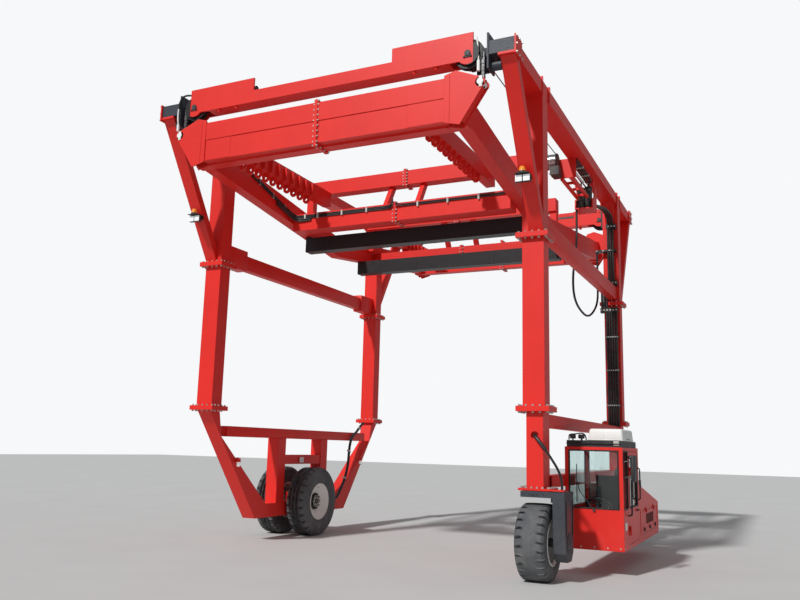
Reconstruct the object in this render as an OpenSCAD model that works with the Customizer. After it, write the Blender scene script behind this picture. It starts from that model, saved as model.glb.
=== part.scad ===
// Straddle carrier. X across, Y along with the front towards -Y, Z up, millimetres.

/* [Overall] */
// Centre line to the middle of each side frame
half_track = 2700; // [2600:10:2900]
// Middle of the machine to the middle of each post
half_base = 2785; // [2700:5:2900]
// Top face of the side rails
rail_top = 6750; // [6650:5:6900]
// Height of the lower bolted joint in the posts
low_joint = 2175; // [2120:5:2300]
// Height of the upper bolted joint in the posts
high_joint = 4520; // [4300:10:4700]

/* [Side frames] */
// Width of the side frame members across the machine
frame_width = 300; // [260:10:340]
// Depth of a post along the machine
post_depth = 250; // [200:10:320]
// Height of the top rails
rail_height = 195; // [150:5:260]
// Height of the chord between the posts
chord_height = 250; // [180:10:300]
// Width of the low beams
beam_width = 200; // [140:10:240]
// Height of the low beams
low_beam_height = 170; // [120:5:220]
// Top of the right low beam
right_beam_top = 2120; // [2000:10:2130]
// Top of the left low beam
left_beam_top = 1905; // [1850:5:2000]
// Thickness of one bolted plate
flange_thick = 35; // [20:5:50]
// How far a bolted plate stands out from its post
flange_over = 75; // [50:5:110]
// Width of the sloping struts along the machine
strut_width = 140; // [110:5:200]
// Width of the sloping struts across the machine
strut_across = 205; // [150:5:240]
// Width of the chord between the posts
chord_width = 150; // [120:5:180]

/* [Left wheel frame] */
// Middle of the left wheels along the machine
left_axle_y = -70; // [-120:10:20]
// Middle of the two uprights along the machine
upright_mid = -50; // [-80:5:-30]
// Half the length of the bottom beam
cradle_half = 1535; // [1450:5:1600]
// Underside of the bottom beam
cradle_bottom = 375; // [340:5:420]
// Height of the bottom beam
cradle_height = 230; // [180:5:260]
// Width of the left wheel frame
cradle_width = 250; // [200:5:270]
// Half the distance between the two uprights
upright_half = 740; // [735:5:800]
// Top of the cross piece between the uprights
cross_top = 1440; // [1420:5:1480]

/* [Wheels] */
// Outside diameter of the left tyres
left_tyre_od = 1220; // [1160:5:1240]
// Width of a left tyre
left_tyre_width = 365; // [300:5:380]
// Middle of a left tyre from the middle of the frame
left_tyre_gap = 345; // [335:5:370]
// Outside diameter of the right tyres
right_tyre_od = 970; // [900:5:980]
// Width of a right tyre
right_tyre_width = 400; // [340:5:400]
// How far the lower right legs sit outboard of the posts
leg_shift = 10; // [0:5:30]
// Width of a lower right leg across the machine
leg_width = 225; // [200:5:260]
// Depth of a lower right leg along the machine
leg_depth = 310; // [260:10:330]
// Height of the steering joint under the lower right legs
leg_foot = 1160; // [1130:5:1200]

/* [Top beams] */
// Middle of the end beams along the machine
end_beam_y = 4090; // [4060:5:4130]
// Depth of a top beam
top_beam_depth = 230; // [180:5:260]
// Underside of the top beams above the underside of the rails
beam_step = 5; // [0:5:30]
// Height of a top beam
top_beam_height = 185; // [160:5:220]
// Extra height of the hoist boxes
hoist_box_rise = 195; // [170:5:260]
// Length of the raised part of a hoist box
hoist_box_length = 1090; // [900:10:1300]
// Chain falls from the middle of the side frame
chain_inset = 285; // [275:5:300]
// Radius of a chain sheave at the seat of the chain
sheave_radius = 180; // [170:2:182]

/* [Lifting frame] */
// Chain falls beyond the end of a lifting beam
lift_inset = 465; // [440:5:500]
// Underside of the lifting beams below the rails
lift_drop = 810; // [780:5:830]
// Height of a lifting beam
lift_height = 600; // [500:10:620]
// Depth of a lifting beam
lift_depth = 300; // [240:10:330]
// Depth of the front box of a lifting beam
front_box = 130; // [110:5:150]
// Chain falls from the middle of the arms
arm_inset = 325; // [300:5:350]
// Width of an arm
arm_width = 190; // [140:10:220]
// Depth of the arms' knee under the lifting beams
arm_drop = 505; // [450:5:560]
// Height of an arm in the middle
arm_height = 360; // [280:10:400]
// Middle of a lug beam from the centre line
lug_beam_x = 1540; // [1450:10:1600]
// Distance between lugs
lug_pitch = 200; // [190:5:240]
// Radius of a lug hole
lug_hole = 22; // [15:1:30]
// Middle of the black bars along the machine
load_bar_y = 1000; // [900:10:1060]

/* [Cab and engine] */
// Inboard face of the cab
cab_inner = 2850; // [2850:5:2900]
// Outboard face of the cab
cab_outer = 3640; // [3600:10:3700]
// Front face of the cab
cab_front = -1890; // [-1940:10:-1840]
// Back face of the cab
cab_back = -620; // [-700:10:-580]
// Underside of the cab
cab_bottom = 335; // [290:5:350]
// Top of the cab shell
cab_top = 1705; // [1680:5:1780]
// Bottom edge of the windows
sill = 880; // [850:10:960]
// Thickness of the cab walls and the doors
wall = 45; // [40:5:60]
// Back face of the engine house
engine_back = 1310; // [1210:10:1400]
// Engine house height at its front edge
engine_top = 1175; // [1100:5:1200]
// Engine house height at its back edge
engine_low = 840; // [780:5:900]

/* [Hidden] */
half_frame = frame_width / 2;
out_x = half_track + left_tyre_gap + left_tyre_width / 2;
mirror_reach = 150;
far_x = cab_outer + mirror_reach;
shift_x = (out_x - far_x) / 2;
rail_under = rail_top - rail_height;
top_beam_bottom = rail_under + beam_step;
chain_x = half_track - chain_inset;
lift_half = chain_x - lift_inset;
arm_x = chain_x - arm_inset;
lift_bottom = rail_under - lift_drop;
arm_low = lift_bottom - arm_drop;
post_in = half_base - post_depth / 2;
post_out = half_base + post_depth / 2;
chord_x = half_track + 25;
chord_low = high_joint + flange_thick + 35;
left_axle_z = left_tyre_od / 2;
right_axle_z = right_tyre_od / 2;
leg_x = half_track + leg_shift;
leg_y = half_base - 35;
front_low = low_joint - flange_thick;
run_gap = 0.05;
steer_pin = 70;
stub_pin = 55;
shaft_pin = 65;
hinge_pin = 8;
hinge_x = cab_outer + 16;
hinge_y = cab_front + 422;
head_z = cab_top - 50;
flap_z = engine_low - 62;
beam_half = cradle_half - 300;
tube_depth = 210;
tube_height = 185;
cap_thick = 35;
rail_end = end_beam_y - tube_depth / 2;
strut_foot = high_joint + flange_thick;
strut_tip = end_beam_y + 62;
strut_slope = (strut_tip - post_out) / (rail_under - strut_foot);
strut_x = half_track + half_frame - strut_across / 2;
cheek = 25;
beam_end = chain_x - 195;
slot_end = beam_end - 260;
sheave_x = chain_x - sheave_radius - 15;
sheave_z = top_beam_bottom + 95;
chain_y = end_beam_y + 45;
axle_pin = 30;
box_top = top_beam_bottom + top_beam_height + hoist_box_rise;
plate_thick = 20;
lift_y = end_beam_y;
lift_face = lift_y - lift_depth / 2;
lift_front = lift_y + lift_depth / 2;
box_back = lift_front - front_box;
arm_end = lift_face;
lift_top = lift_bottom + lift_height;
pin_z = lift_top - 135;
low_cross = 1390;
high_cross = 1090;
high_cross_z = lift_bottom + 325;
lug_top = lift_bottom + 85;
first_lug = lift_face - 130;
lamp_z = high_joint + 695;
lamp_x = strut_x - 30;
unit_one_y = -360;
unit_two_y = 1030;
unit_x = half_track - half_frame - 140;
$fn = 48;

red = [0.83, 0.09, 0.05];
dark = [0.13, 0.14, 0.16];
black = [0.03, 0.03, 0.035];
white = [0.88, 0.88, 0.86];
rubber = [0.07, 0.07, 0.075];
steel = [0.45, 0.46, 0.48];
glass = [0.6, 0.72, 0.75, 0.35];

module placed(c) color(c) translate([shift_x, 0, 0]) children();
module both_ends() { children(); mirror([0, 1, 0]) children(); }
module both_sides() { children(); mirror([1, 0, 0]) children(); }
module span(a, b) translate(a) cube(b - a);
module bar(x, w, y0, y1, z0, z1) span([x - w / 2, y0, z0], [x + w / 2, y1, z1]);
// A flat outline in Y and Z, thick along X
module yz_slab(x, w, outline)
  translate([x - w / 2, 0, 0]) rotate([90, 0, 90]) linear_extrude(w) polygon(outline);
// A flat outline in X and Z, thick along Y
module xz_slab(y, w, outline)
  translate([0, y + w / 2, 0]) rotate([90, 0, 0]) linear_extrude(w) polygon(outline);
// A round rod along X
module x_rod(p, len, r) translate(p - [len / 2, 0, 0]) rotate([0, 90, 0]) cylinder(h = len, r = r);
module y_rod(p, len, r) translate(p - [0, len / 2, 0]) rotate([-90, 0, 0]) cylinder(h = len, r = r);
// A turned piece about X: outline in radius and X
module turned(p, outline) translate(p) rotate([0, 90, 0]) rotate_extrude($fn = 64) polygon(outline);

module posts() placed(red) both_sides() both_ends() {
  bar(half_track, frame_width, post_in, post_out, low_joint + flange_thick, high_joint - flange_thick);
  bar(half_track, frame_width, post_in, post_out, high_joint + flange_thick, rail_under);
}

// Blind bore for the steering pin of a yoke
module steer_bore() translate([leg_x, leg_y, leg_foot - 40]) cylinder(h = 75, r = steer_pin + run_gap);
module post_flanges() placed(red) {
  half_x = half_frame + flange_over;
  for (z = [low_joint, high_joint]) both_sides() both_ends()
    bar(half_track, 2 * half_x, post_in - flange_over, post_out + flange_over,
      z - flange_thick, z + flange_thick);
  both_ends() difference() {
    bar(leg_x, 420, leg_y - 210, leg_y + 210, leg_foot - 30, leg_foot);
    steer_bore();
  }
  // Bracket that carries the end of the leg hose clear of the yoke
  span([leg_x + 190, -leg_y - 230, leg_foot - 25], [leg_x + 390, -leg_y - 130, leg_foot - 5]);
  both_sides() both_ends()
    bar(half_track + half_frame + 12, 24, end_beam_y - 130, end_beam_y + 130, rail_under - 20,
      rail_under + cap_thick + tube_height + 18);
}

module top_rails() placed(red) {
  unit_brackets();
  both_sides() rail();
}
module rail() {
  bar(half_track, frame_width, -rail_end, rail_end, rail_under, rail_top);
  both_ends() {
    yz_slab(half_track, frame_width - 120,
      [[post_in - 200, rail_under], [post_in, rail_under - 420], [post_in, rail_under]]);
    bar(half_track, frame_width + 24, post_out, post_out + 20, rail_under - 25, rail_top + 50);
    bar(half_track, frame_width + 44, post_in - 90, post_in - 50, rail_under - 22, rail_top + 22);
  }
}

// The front face of a strut at a height
function strut_front(z) = post_out + (z - strut_foot) * strut_slope;
module rail_struts() placed(red) both_sides() both_ends() {
  yz_slab(strut_x, strut_across, [[post_out, strut_foot], [strut_tip, rail_under],
    [strut_tip - strut_width, rail_under], [post_out, strut_foot + strut_width / strut_slope]]);
  bar(strut_x - 10, strut_across + 20, rail_end, strut_tip + 50, rail_under, rail_under + cap_thick);
}

module side_beams() placed(red) {
  both_sides() mid_chord();
  // Deep sleeves where the left chord meets its posts
  both_ends() bar(-chord_x, chord_width + 50, post_in - 560, post_in,
    chord_low - 35, chord_low + chord_height + 70);
  low_beams();
}
module mid_chord() bar(chord_x, chord_width, -post_in, post_in, chord_low, chord_low + chord_height);

module low_beams() {
  leg_face = leg_y - leg_depth / 2;
  bar(half_track, beam_width, -leg_face, leg_face, right_beam_top - low_beam_height, right_beam_top);
  difference() {
    bar(-half_track, beam_width, -post_in, post_in, left_beam_top - low_beam_height, left_beam_top);
    arm_slabs(20);
  }
  span([half_track - 80, -leg_face, leg_foot], [cab_inner, leg_face, leg_foot + 150]);
}

// The two sloping arms from the left posts down to the bottom beam
module arm_slabs(extra) for (s = [-1, 1])
  yz_slab(-half_track, cradle_width + extra, [
    [s * post_out, front_low], [s * post_in, front_low],
    [s * (post_in - 80), left_beam_top - low_beam_height], [s * beam_half, cradle_bottom + cradle_height],
    [s * beam_half, cradle_bottom], [s * cradle_half, cradle_bottom]]);
module left_arms() placed(red) arm_slabs(0);

module left_beams() placed(red) {
  uprights();
  difference() {
    union() {
      bar(-half_track, cradle_width, -beam_half, beam_half, cradle_bottom, cradle_bottom + cradle_height);
      bar(-half_track, cradle_width, left_axle_y - 170, left_axle_y + 170, cradle_bottom, left_axle_z + 150);
    }
    x_rod([-half_track, left_axle_y, left_axle_z], cradle_width + 20, shaft_pin + run_gap);
  }
  bar(-half_track, cradle_width - 40, upright_mid - upright_half + 120, upright_mid + upright_half - 120,
    cross_top - 165, cross_top);
}

module uprights() for (s = [-1, 1])
  bar(-half_track, cradle_width - 20, upright_mid + s * upright_half - 120,
    upright_mid + s * upright_half + 120, cradle_bottom + cradle_height, left_beam_top - low_beam_height);

module left_tyre(x) {
  r = left_tyre_od / 2;
  w = left_tyre_width / 2;
  turned([x, left_axle_y, left_axle_z], [[305, -w + 45], [340, -w + 12], [r - 140, -w], [r - 35, -w + 10],
    [r, -w + 35], [r, w - 35], [r - 35, w - 10], [r - 140, w], [340, w - 12], [305, w - 45]]);
}
module left_tyres() placed(rubber) for (s = [-1, 1]) left_tyre(-half_track + s * left_tyre_gap);

module left_rim() {
  w = left_tyre_width / 2;
  turned([0, 0, 0], [[100, 40], [150, 35], [235, w - 90], [262, w - 70], [284, w - 70], [284, -w + 33],
    [312, -w + 6], [326, -w + 10], [326, -w + 25], [305, -w + 45], [305, w - 45], [326, w - 25],
    [326, w - 10], [312, w - 6], [284, w - 33], [262, w - 50], [235, w - 70], [150, 60], [100, 65]]);
}
module left_rims() placed(white) {
  translate([-half_track + left_tyre_gap, left_axle_y, left_axle_z]) left_rim();
  translate([-half_track - left_tyre_gap, left_axle_y, left_axle_z]) mirror([1, 0, 0]) left_rim();
  x_rod([-half_track, left_axle_y, left_axle_z], 2 * left_tyre_gap, shaft_pin);
  for (s = [-1, 1]) x_rod([-half_track + s * (left_tyre_gap + 30), left_axle_y, left_axle_z], 150, 100);
}

module right_legs() placed(red) both_ends() difference() {
  bar(leg_x, leg_width, leg_y - leg_depth / 2, leg_y + leg_depth / 2, leg_foot, front_low);
  y_rod([leg_x, leg_y + leg_depth / 2, 1830], 90, 52);
  steer_bore();
}

// Steered yoke: a top plate, one outboard leg and the stub axle
module yoke() {
  top = leg_foot - 35;
  leg_out = leg_x + 402;
  leg_in = leg_x + right_tyre_width / 2 + 45;
  span([leg_x - 170, -235, top - 75], [leg_out, 235, top]);
  yz_slab((leg_in + leg_out) / 2, leg_out - leg_in, [[-235, top - 75], [-200, right_axle_z - 110],
    [-100, right_axle_z - 220], [100, right_axle_z - 220], [200, right_axle_z - 110], [235, top - 75]]);
  span([leg_in - 40, -150, top - 135], [leg_in, 150, top - 75]);
  x_rod([(leg_x - 40 + leg_in) / 2, 0, right_axle_z], leg_in - leg_x + 40, stub_pin);
  translate([leg_x, 0, top - 10]) cylinder(h = 70, r = steer_pin);
}
module front_yoke() placed(dark) translate([0, -leg_y, 0]) yoke();
module rear_yoke() placed(dark) translate([0, leg_y, 0]) yoke();

module right_tyre() {
  r = right_tyre_od / 2;
  w = right_tyre_width / 2;
  turned([leg_x, 0, right_axle_z], [[270, -w + 40], [300, -w + 10], [r - 95, -w], [r - 30, -w + 14],
    [r, -w + 48], [r, w - 48], [r - 30, w - 14], [r - 95, w], [300, w - 10], [270, w - 40]]);
}
module right_rim() {
  w = right_tyre_width / 2;
  turned([leg_x, 0, right_axle_z], [[stub_pin + run_gap, -40], [stub_pin + run_gap, 90], [120, 90], [120, 10],
    [250, 10], [250, w - 30], [278, w - 4], [291, w - 8], [291, w - 19], [270, w - 40], [270, -w + 40],
    [291, -w + 19], [291, -w + 8], [278, -w + 4], [250, -w + 30], [250, -10], [100, -10], [100, -40]]);
}
module front_tyre() placed(rubber) translate([0, -leg_y, 0]) right_tyre();
module front_rim() placed(white) translate([0, -leg_y, 0]) right_rim();
module rear_tyre() placed(rubber) translate([0, leg_y, 0]) right_tyre();
module rear_rim() placed(white) translate([0, leg_y, 0]) right_rim();

module top_beams() placed(red) both_ends() {
  front = end_beam_y + top_beam_depth / 2;
  back = end_beam_y - top_beam_depth / 2;
  top = top_beam_bottom + top_beam_height;
  span([-slot_end, back, top_beam_bottom], [slot_end, front, top]);
  both_sides() {
    // The raised sides of the hoist box: a long one in front, a short one behind
    span([beam_end - hoist_box_length, front - cheek, top], [beam_end + 75, front, box_top]);
    span([beam_end - 560, back, top], [beam_end, back + cheek, box_top - 45]);
    // Two round-nosed cheek plates hold the sheave axle
    for (y = [back + cheek / 2, front - cheek / 2]) difference() {
      union() {
        span([slot_end, y - cheek / 2, top_beam_bottom], [sheave_x, y + cheek / 2, top]);
        y_rod([sheave_x, y, sheave_z], cheek, 150);
      }
      y_rod([sheave_x, y, sheave_z], cheek + 10, axle_pin + run_gap);
    }
  }
}

module sheaves() placed(steel) both_sides() both_ends() {
  r = sheave_radius;
  run = slot_end - 280;
  translate([sheave_x, chain_y, sheave_z]) rotate([90, 0, 0]) rotate_extrude($fn = 64) polygon([
    [0, -42], [60, -42], [60, -22], [r - 45, -22], [r - 25, -38], [r + 18, -38], [r + 18, -26], [r, -22],
    [r, 22], [r + 18, 26], [r + 18, 38], [r - 25, 38], [r - 45, 22], [60, 22], [60, 42], [0, 42]]);
  y_rod([sheave_x, end_beam_y, sheave_z], top_beam_depth + 20, axle_pin);
  // The chain lies on the outer quarter and runs on into the hoist box
  difference() {
    y_rod([sheave_x, chain_y, sheave_z], 36, r + 30);
    y_rod([sheave_x, chain_y, sheave_z], 40, r);
    span([sheave_x - 250, chain_y - 30, sheave_z - 250], [sheave_x + 250, chain_y + 30, sheave_z]);
    span([sheave_x - 250, chain_y - 30, sheave_z - 10], [sheave_x, chain_y + 30, sheave_z + 250]);
  }
  span([run, chain_y - 18, sheave_z + r], [sheave_x, chain_y + 18, sheave_z + r + 30]);
}

module stub_tubes() placed(dark) both_sides() both_ends() {
  tube_start = chain_x + 90;
  tube_low = rail_under + cap_thick;
  half = top_beam_depth / 2 + 24;
  // A plate behind the beam and an end plate carry the tube past the chain
  span([beam_end + 45, end_beam_y - half, top_beam_bottom - 110],
    [tube_start, end_beam_y - half + 24, top_beam_bottom + 250]);
  bar(tube_start - 12, 24, end_beam_y - half, end_beam_y + half - 24,
    top_beam_bottom - 160, top_beam_bottom + 330);
  span([tube_start, end_beam_y - tube_depth / 2, tube_low],
    [half_track + half_frame, end_beam_y + tube_depth / 2, tube_low + tube_height]);
  x_rod([(tube_start + strut_x - strut_across / 2) / 2, end_beam_y - 30, tube_low - 110],
    strut_x - strut_across / 2 - tube_start, 62);
}

module hoist_chains() placed(steel) both_sides() both_ends()
  bar(chain_x, 30, chain_y - 18, chain_y + 18, pin_z + 38, sheave_z);

// A tall front box carries the end plates, and a lower box behind it carries the arms
module lifting_beams() placed(red) both_ends() {
  arm_side = arm_x + arm_width / 2;
  span([-lift_half, box_back, lift_bottom], [lift_half, lift_front, lift_top]);
  span([-lift_half + 40, lift_face, lift_bottom - 25], [lift_half - 40, box_back, lift_bottom + 420]);
  span([-arm_side, lift_face, lift_bottom - 25], [arm_side, box_back - plate_thick, lift_bottom + 420]);
  span([-22, lift_face - 25, lift_bottom - 50], [22, lift_front + 25, lift_top + 35]);
}

module lift_ends() placed(red) both_sides() both_ends() {
  for (y = [lift_front + plate_thick / 2, box_back - plate_thick / 2]) {
    xz_slab(y, plate_thick, [[lift_half - 30, lift_bottom - 15], [lift_half + 190, lift_bottom - 70],
      [chain_x + 55, pin_z - 35], [chain_x + 40, pin_z + 50], [lift_half + 130, lift_top + 75],
      [lift_half - 30, lift_top + 30]]);
    y_rod([chain_x, y, pin_z], plate_thick, 66);
  }
  y_rod([chain_x, (lift_front + box_back) / 2, pin_z], front_box + 2 * plate_thick + 30, 38);
  bar(lift_half + 60, 24, box_back, lift_front, lift_bottom, lift_top - 20);
}

module lug_beams() placed(red) both_sides() both_ends() {
  bar(lug_beam_x, 150, high_cross + 220, lift_face, lug_top, lug_top + 250);
  // A rib over each lug on the inboard side
  for (i = [0:9]) bar(lug_beam_x - 102, 54, first_lug - i * lug_pitch - 13, first_lug - i * lug_pitch + 13,
    lug_top, lug_top + 210);
}

module lug_plates() placed(red) both_sides() both_ends() for (i = [0:9])
  difference() {
    translate([lug_beam_x, first_lug - i * lug_pitch, lug_top])
      xz_slab(0, 25, [[-75, 0], [-60, -100], [-25, -135], [25, -135], [60, -100], [75, 0]]);
    y_rod([lug_beam_x, first_lug - i * lug_pitch, lug_top - 70], 60, lug_hole);
  }

// Underside of the arms at a place along the machine
function arm_under(y) = arm_low + (lift_bottom - arm_low) * y / arm_end;
module spreader_arms() placed(red) both_sides() yz_slab(arm_x, arm_width, [
  [-arm_end, lift_bottom], [0, arm_low], [arm_end, lift_bottom], [arm_end, lift_bottom + 390],
  [0, arm_low + arm_height], [-arm_end, lift_bottom + 390]]);

module cross_beams() placed(red) both_ends() {
  inner = arm_x - arm_width / 2;
  // Each row: near face, depth, underside, height
  for (row = [[low_cross, 300, arm_low + 85, 300], [high_cross, 220, high_cross_z, 250]]) {
    span([-inner, row[0], row[2]], [inner, row[0] + row[1], row[2] + row[3]]);
    span([-22, row[0] - 25, row[2] - 25], [22, row[0] + row[1] + 25, row[2] + row[3] + 25]);
  }
}

module braces() placed(red) both_ends() {
  both_sides() yz_slab(300, 80, [[low_cross, arm_low + 385], [low_cross + 120, arm_low + 385],
    [high_cross + 150, high_cross_z], [high_cross + 30, high_cross_z]]);
  both_sides() bar(arm_x - arm_width / 2 - 65, 130, high_cross + 40, high_cross + 170,
    arm_low + 380, high_cross_z);
}

module load_bars() placed(black) both_ends() {
  top = arm_under(load_bar_y - 100) - 0.3;
  span([-arm_x, load_bar_y - 100, top - 260], [arm_x, load_bar_y + 100, top]);
  both_sides() yz_slab(arm_x - 40, 80, [[load_bar_y - 100, top], [load_bar_y + 100, top],
    [load_bar_y + 100, arm_under(load_bar_y + 100) - 0.3]]);
}

// The fixed half of a cab door hinge, with its pin
module jamb_hinge(z) {
  translate([hinge_x, hinge_y, z - 60]) cylinder(h = 115, r = hinge_pin);
  translate([hinge_x, hinge_y, z - 60]) cylinder(h = 58, r = 14);
  span([cab_outer, hinge_y - 45, z - 60], [hinge_x, hinge_y, z - 2]);
}
module door_hinge(z) difference() {
  union() {
    translate([hinge_x, hinge_y, z]) cylinder(h = 60, r = 14);
    span([cab_outer, hinge_y, z], [hinge_x, hinge_y + 45, z + 60]);
  }
  translate([hinge_x, hinge_y, z - 5]) cylinder(h = 60.2, r = hinge_pin + run_gap);
}
// The two halves of a flap hinge along Y
module house_hinge(y) {
  y_rod([hinge_x, y - 2.5, flap_z], 115, hinge_pin);
  y_rod([hinge_x, y - 31, flap_z], 58, 14);
  span([cab_outer, y - 60, flap_z], [hinge_x, y - 2, flap_z + 40]);
}
module flap_hinge(y) difference() {
  union() {
    y_rod([hinge_x, y + 30, flap_z], 60, 14);
    span([cab_outer, y, flap_z - 40], [hinge_x, y + 60, flap_z]);
  }
  y_rod([hinge_x, y + 25.1, flap_z], 60.2, hinge_pin + run_gap);
}

module cab_base() placed(red) {
  jamb_hinge(sill - 300);
  cab_tub();
}
module cab_tub() difference() {
  span([cab_inner, cab_front, cab_bottom], [cab_outer, cab_back, sill]);
  span([cab_inner + wall, cab_front + wall, cab_bottom + 60], [cab_outer - wall, cab_back - wall, sill + 10]);
  span([cab_outer - wall - 10, cab_front + 420, cab_bottom + 60], [cab_outer + 10, cab_back - 70, sill + 10]);
}

module cab_frame() placed(red) {
  post = 60;
  for (x = [cab_inner, cab_outer - post], y = [cab_front, cab_back - post])
    span([x, y, sill], [x + post, y + post, head_z]);
  span([cab_inner, cab_front, head_z], [cab_outer, cab_back, cab_top]);
  span([cab_outer - post, cab_front + 360, sill], [cab_outer, cab_front + 420, head_z]);
  jamb_hinge(sill + 500);
}

module cab_glass() placed(glass) {
  span([cab_inner + 60, cab_front + 20, sill], [cab_outer - 60, cab_front + 30, head_z]);
  span([cab_inner + 60, cab_back - 30, sill], [cab_outer - 60, cab_back - 20, head_z]);
  span([cab_inner + 20, cab_front + 60, sill], [cab_inner + 30, cab_back - 60, head_z]);
  span([cab_outer - 30, cab_front + 60, sill], [cab_outer - 20, cab_front + 360, head_z]);
}

module cab_door() placed(red) {
  difference() {
    span([cab_outer - wall, cab_front + 425, cab_bottom + 65], [cab_outer, cab_back - 75, head_z - 5]);
    span([cab_outer - wall - 5, cab_front + 485, sill], [cab_outer + 5, cab_back - 135, head_z - 65]);
  }
  for (z = [sill - 300, sill + 500]) door_hinge(z);
}

module door_glass() placed(glass)
  span([cab_outer - wall / 2 - 5, cab_front + 485, sill],
    [cab_outer - wall / 2 + 5, cab_back - 135, head_z - 65]);

// The dark deck between the cab roof and the air unit
module roof_deck() placed(black)
  span([cab_inner + 25, cab_front + 15, cab_top], [cab_outer - 20, cab_back - 40, cab_top + 90]);

// White roof unit with sloping ends
module air_unit() placed(white) xz_slab(cab_front + 490, 860, [
  [cab_inner + 305, cab_top + 90], [cab_outer, cab_top + 90], [cab_outer, cab_top + 195],
  [cab_outer - 30, cab_top + 250], [cab_inner + 357, cab_top + 250], [cab_inner + 305, cab_top + 190]]);

module cab_seat() placed(dark) {
  mid = (cab_inner + cab_outer) / 2;
  room = cab_outer - cab_inner - 2 * wall;
  seat_z = cab_bottom + 320;
  bar(mid, 0.34 * room, cab_back - 520, cab_back - 200, cab_bottom + 60, seat_z);
  bar(mid, 0.64 * room, cab_back - 600, cab_back - 130, seat_z, seat_z + 100);
  bar(mid, 0.62 * room, cab_back - 150, cab_back - 60, seat_z + 100, seat_z + 660);
  bar(mid, 0.5 * room, cab_front + wall, cab_front + 220, cab_bottom + 60, sill - 20);
}

module engine_house() placed(red) {
  house_shell();
  for (y = [0, engine_back - 550]) house_hinge(y);
}
module house_shell() difference() {
  yz_slab((cab_inner + cab_outer) / 2, cab_outer - cab_inner, [[cab_back, cab_bottom],
    [engine_back - 60, cab_bottom], [engine_back, cab_bottom + 60], [engine_back, engine_low],
    [cab_back, engine_top]]);
  yz_slab((cab_inner + cab_outer) / 2, cab_outer - cab_inner - 2 * wall,
    [[cab_back + wall, cab_bottom + wall], [engine_back - wall, cab_bottom + wall],
    [engine_back - wall, engine_low - wall], [cab_back + wall, engine_top - wall]]);
  span([cab_outer - wall - 10, cab_back + 250, cab_bottom + 100],
    [cab_outer + 10, engine_back - 250, engine_low - 60]);
}

module engine_door() placed(red) {
  span([cab_outer - wall, cab_back + 255, cab_bottom + 105], [cab_outer, engine_back - 255, engine_low - 65]);
  for (y = [0, engine_back - 550]) flap_hinge(y);
}

module engine_block() placed(dark)
  span([cab_inner + 130, cab_back + 300, cab_bottom + wall],
    [cab_outer - 180, engine_back - 350, engine_low - 80]);

// Hoses up the rear right post: five below the upper joint, three past the chord, three above it
module hose_bundle() placed(black) {
  y = post_in - flange_over - 26;
  low_block = high_joint - flange_thick - 150;
  high_block = chord_low + chord_height + 40;
  top_block = rail_under - 525;
  for (i = [0:4]) translate([half_track - 80 + i * 45, y, right_beam_top])
    cylinder(h = low_block - right_beam_top, r = 21);
  for (i = [0:2]) {
    translate([half_track - 171 + i * 45, y, low_block]) cylinder(h = high_block - low_block, r = 21);
    translate([half_track - 30 + i * 45, y, high_block]) cylinder(h = top_block - high_block, r = 21);
  }
  for (z = [low_block, high_block, top_block])
    span([z == top_block ? half_track - 65 : half_track - half_frame - 55, y - 26, z],
      [half_track + 125, post_in, z + 90]);
  span([half_track - 110, y - 26, low_joint + 325], [half_track + 130, post_in, low_joint + 365]);
  span([half_track - 110, y - 26, low_joint + 1000], [half_track + 130, post_in, low_joint + 1040]);
  span([half_track - 110, y - 26, low_joint + 1650], [half_track + 130, post_in, low_joint + 1690]);
  // This clamp reaches inboard to take the end of the hanging hose
  span([half_track - half_frame - 140, y - 30, rail_under - 995],
    [half_track + 125, post_in, rail_under - 955]);
}

module hoist_units() placed(black) {
  x = unit_x;
  // A round pump with its valve block under the middle of the right rail
  x_rod([x - 150, unit_one_y, rail_under - 70], 320, 120);
  span([x - 110, unit_one_y - 110, rail_under - 330], [x + 40, unit_one_y + 110, rail_under - 180]);
  // Two upright cylinders on the hanging tray
  for (dx = [80, 215]) translate([x + dx, unit_two_y, rail_under - 530]) cylinder(h = 400, r = 66);
  span([x + 20, unit_two_y + 80, rail_under - 530], [x + 290, unit_two_y + 200, rail_under - 330]);
  // The cylinders that pull the chains along the top beams
  both_sides() both_ends() {
    rod_end = slot_end - 280;
    top = top_beam_bottom + top_beam_height;
    pull_r = end_beam_y + top_beam_depth / 2 - cheek - chain_y - 3;
    span([rod_end - 60, chain_y - 30, top], [rod_end, chain_y + 30, sheave_z + sheave_radius + 30]);
    x_rod([rod_end - 310, chain_y, top + 52], 500, pull_r);
  }
}

// Brackets that hold the units under the right rail
module unit_brackets() {
  x = unit_x;
  span([x - 100, unit_one_y + 120, rail_under - 340], [x + 280, unit_one_y + 140, rail_under]);
  for (dx = [-10, 300]) difference() {
    yz_slab(x + dx, 20, [[unit_two_y - 60, rail_under], [unit_two_y + 260, rail_under],
      [unit_two_y + 260, rail_under - 550], [unit_two_y - 100, rail_under - 550],
      [unit_two_y - 100, rail_under - 480]]);
    x_rod([x + dx, unit_two_y - 60, rail_under - 240], 40, 130);
  }
  span([x - 20, unit_two_y - 100, rail_under - 550], [x + 310, unit_two_y + 260, rail_under - 530.2]);
}

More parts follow.
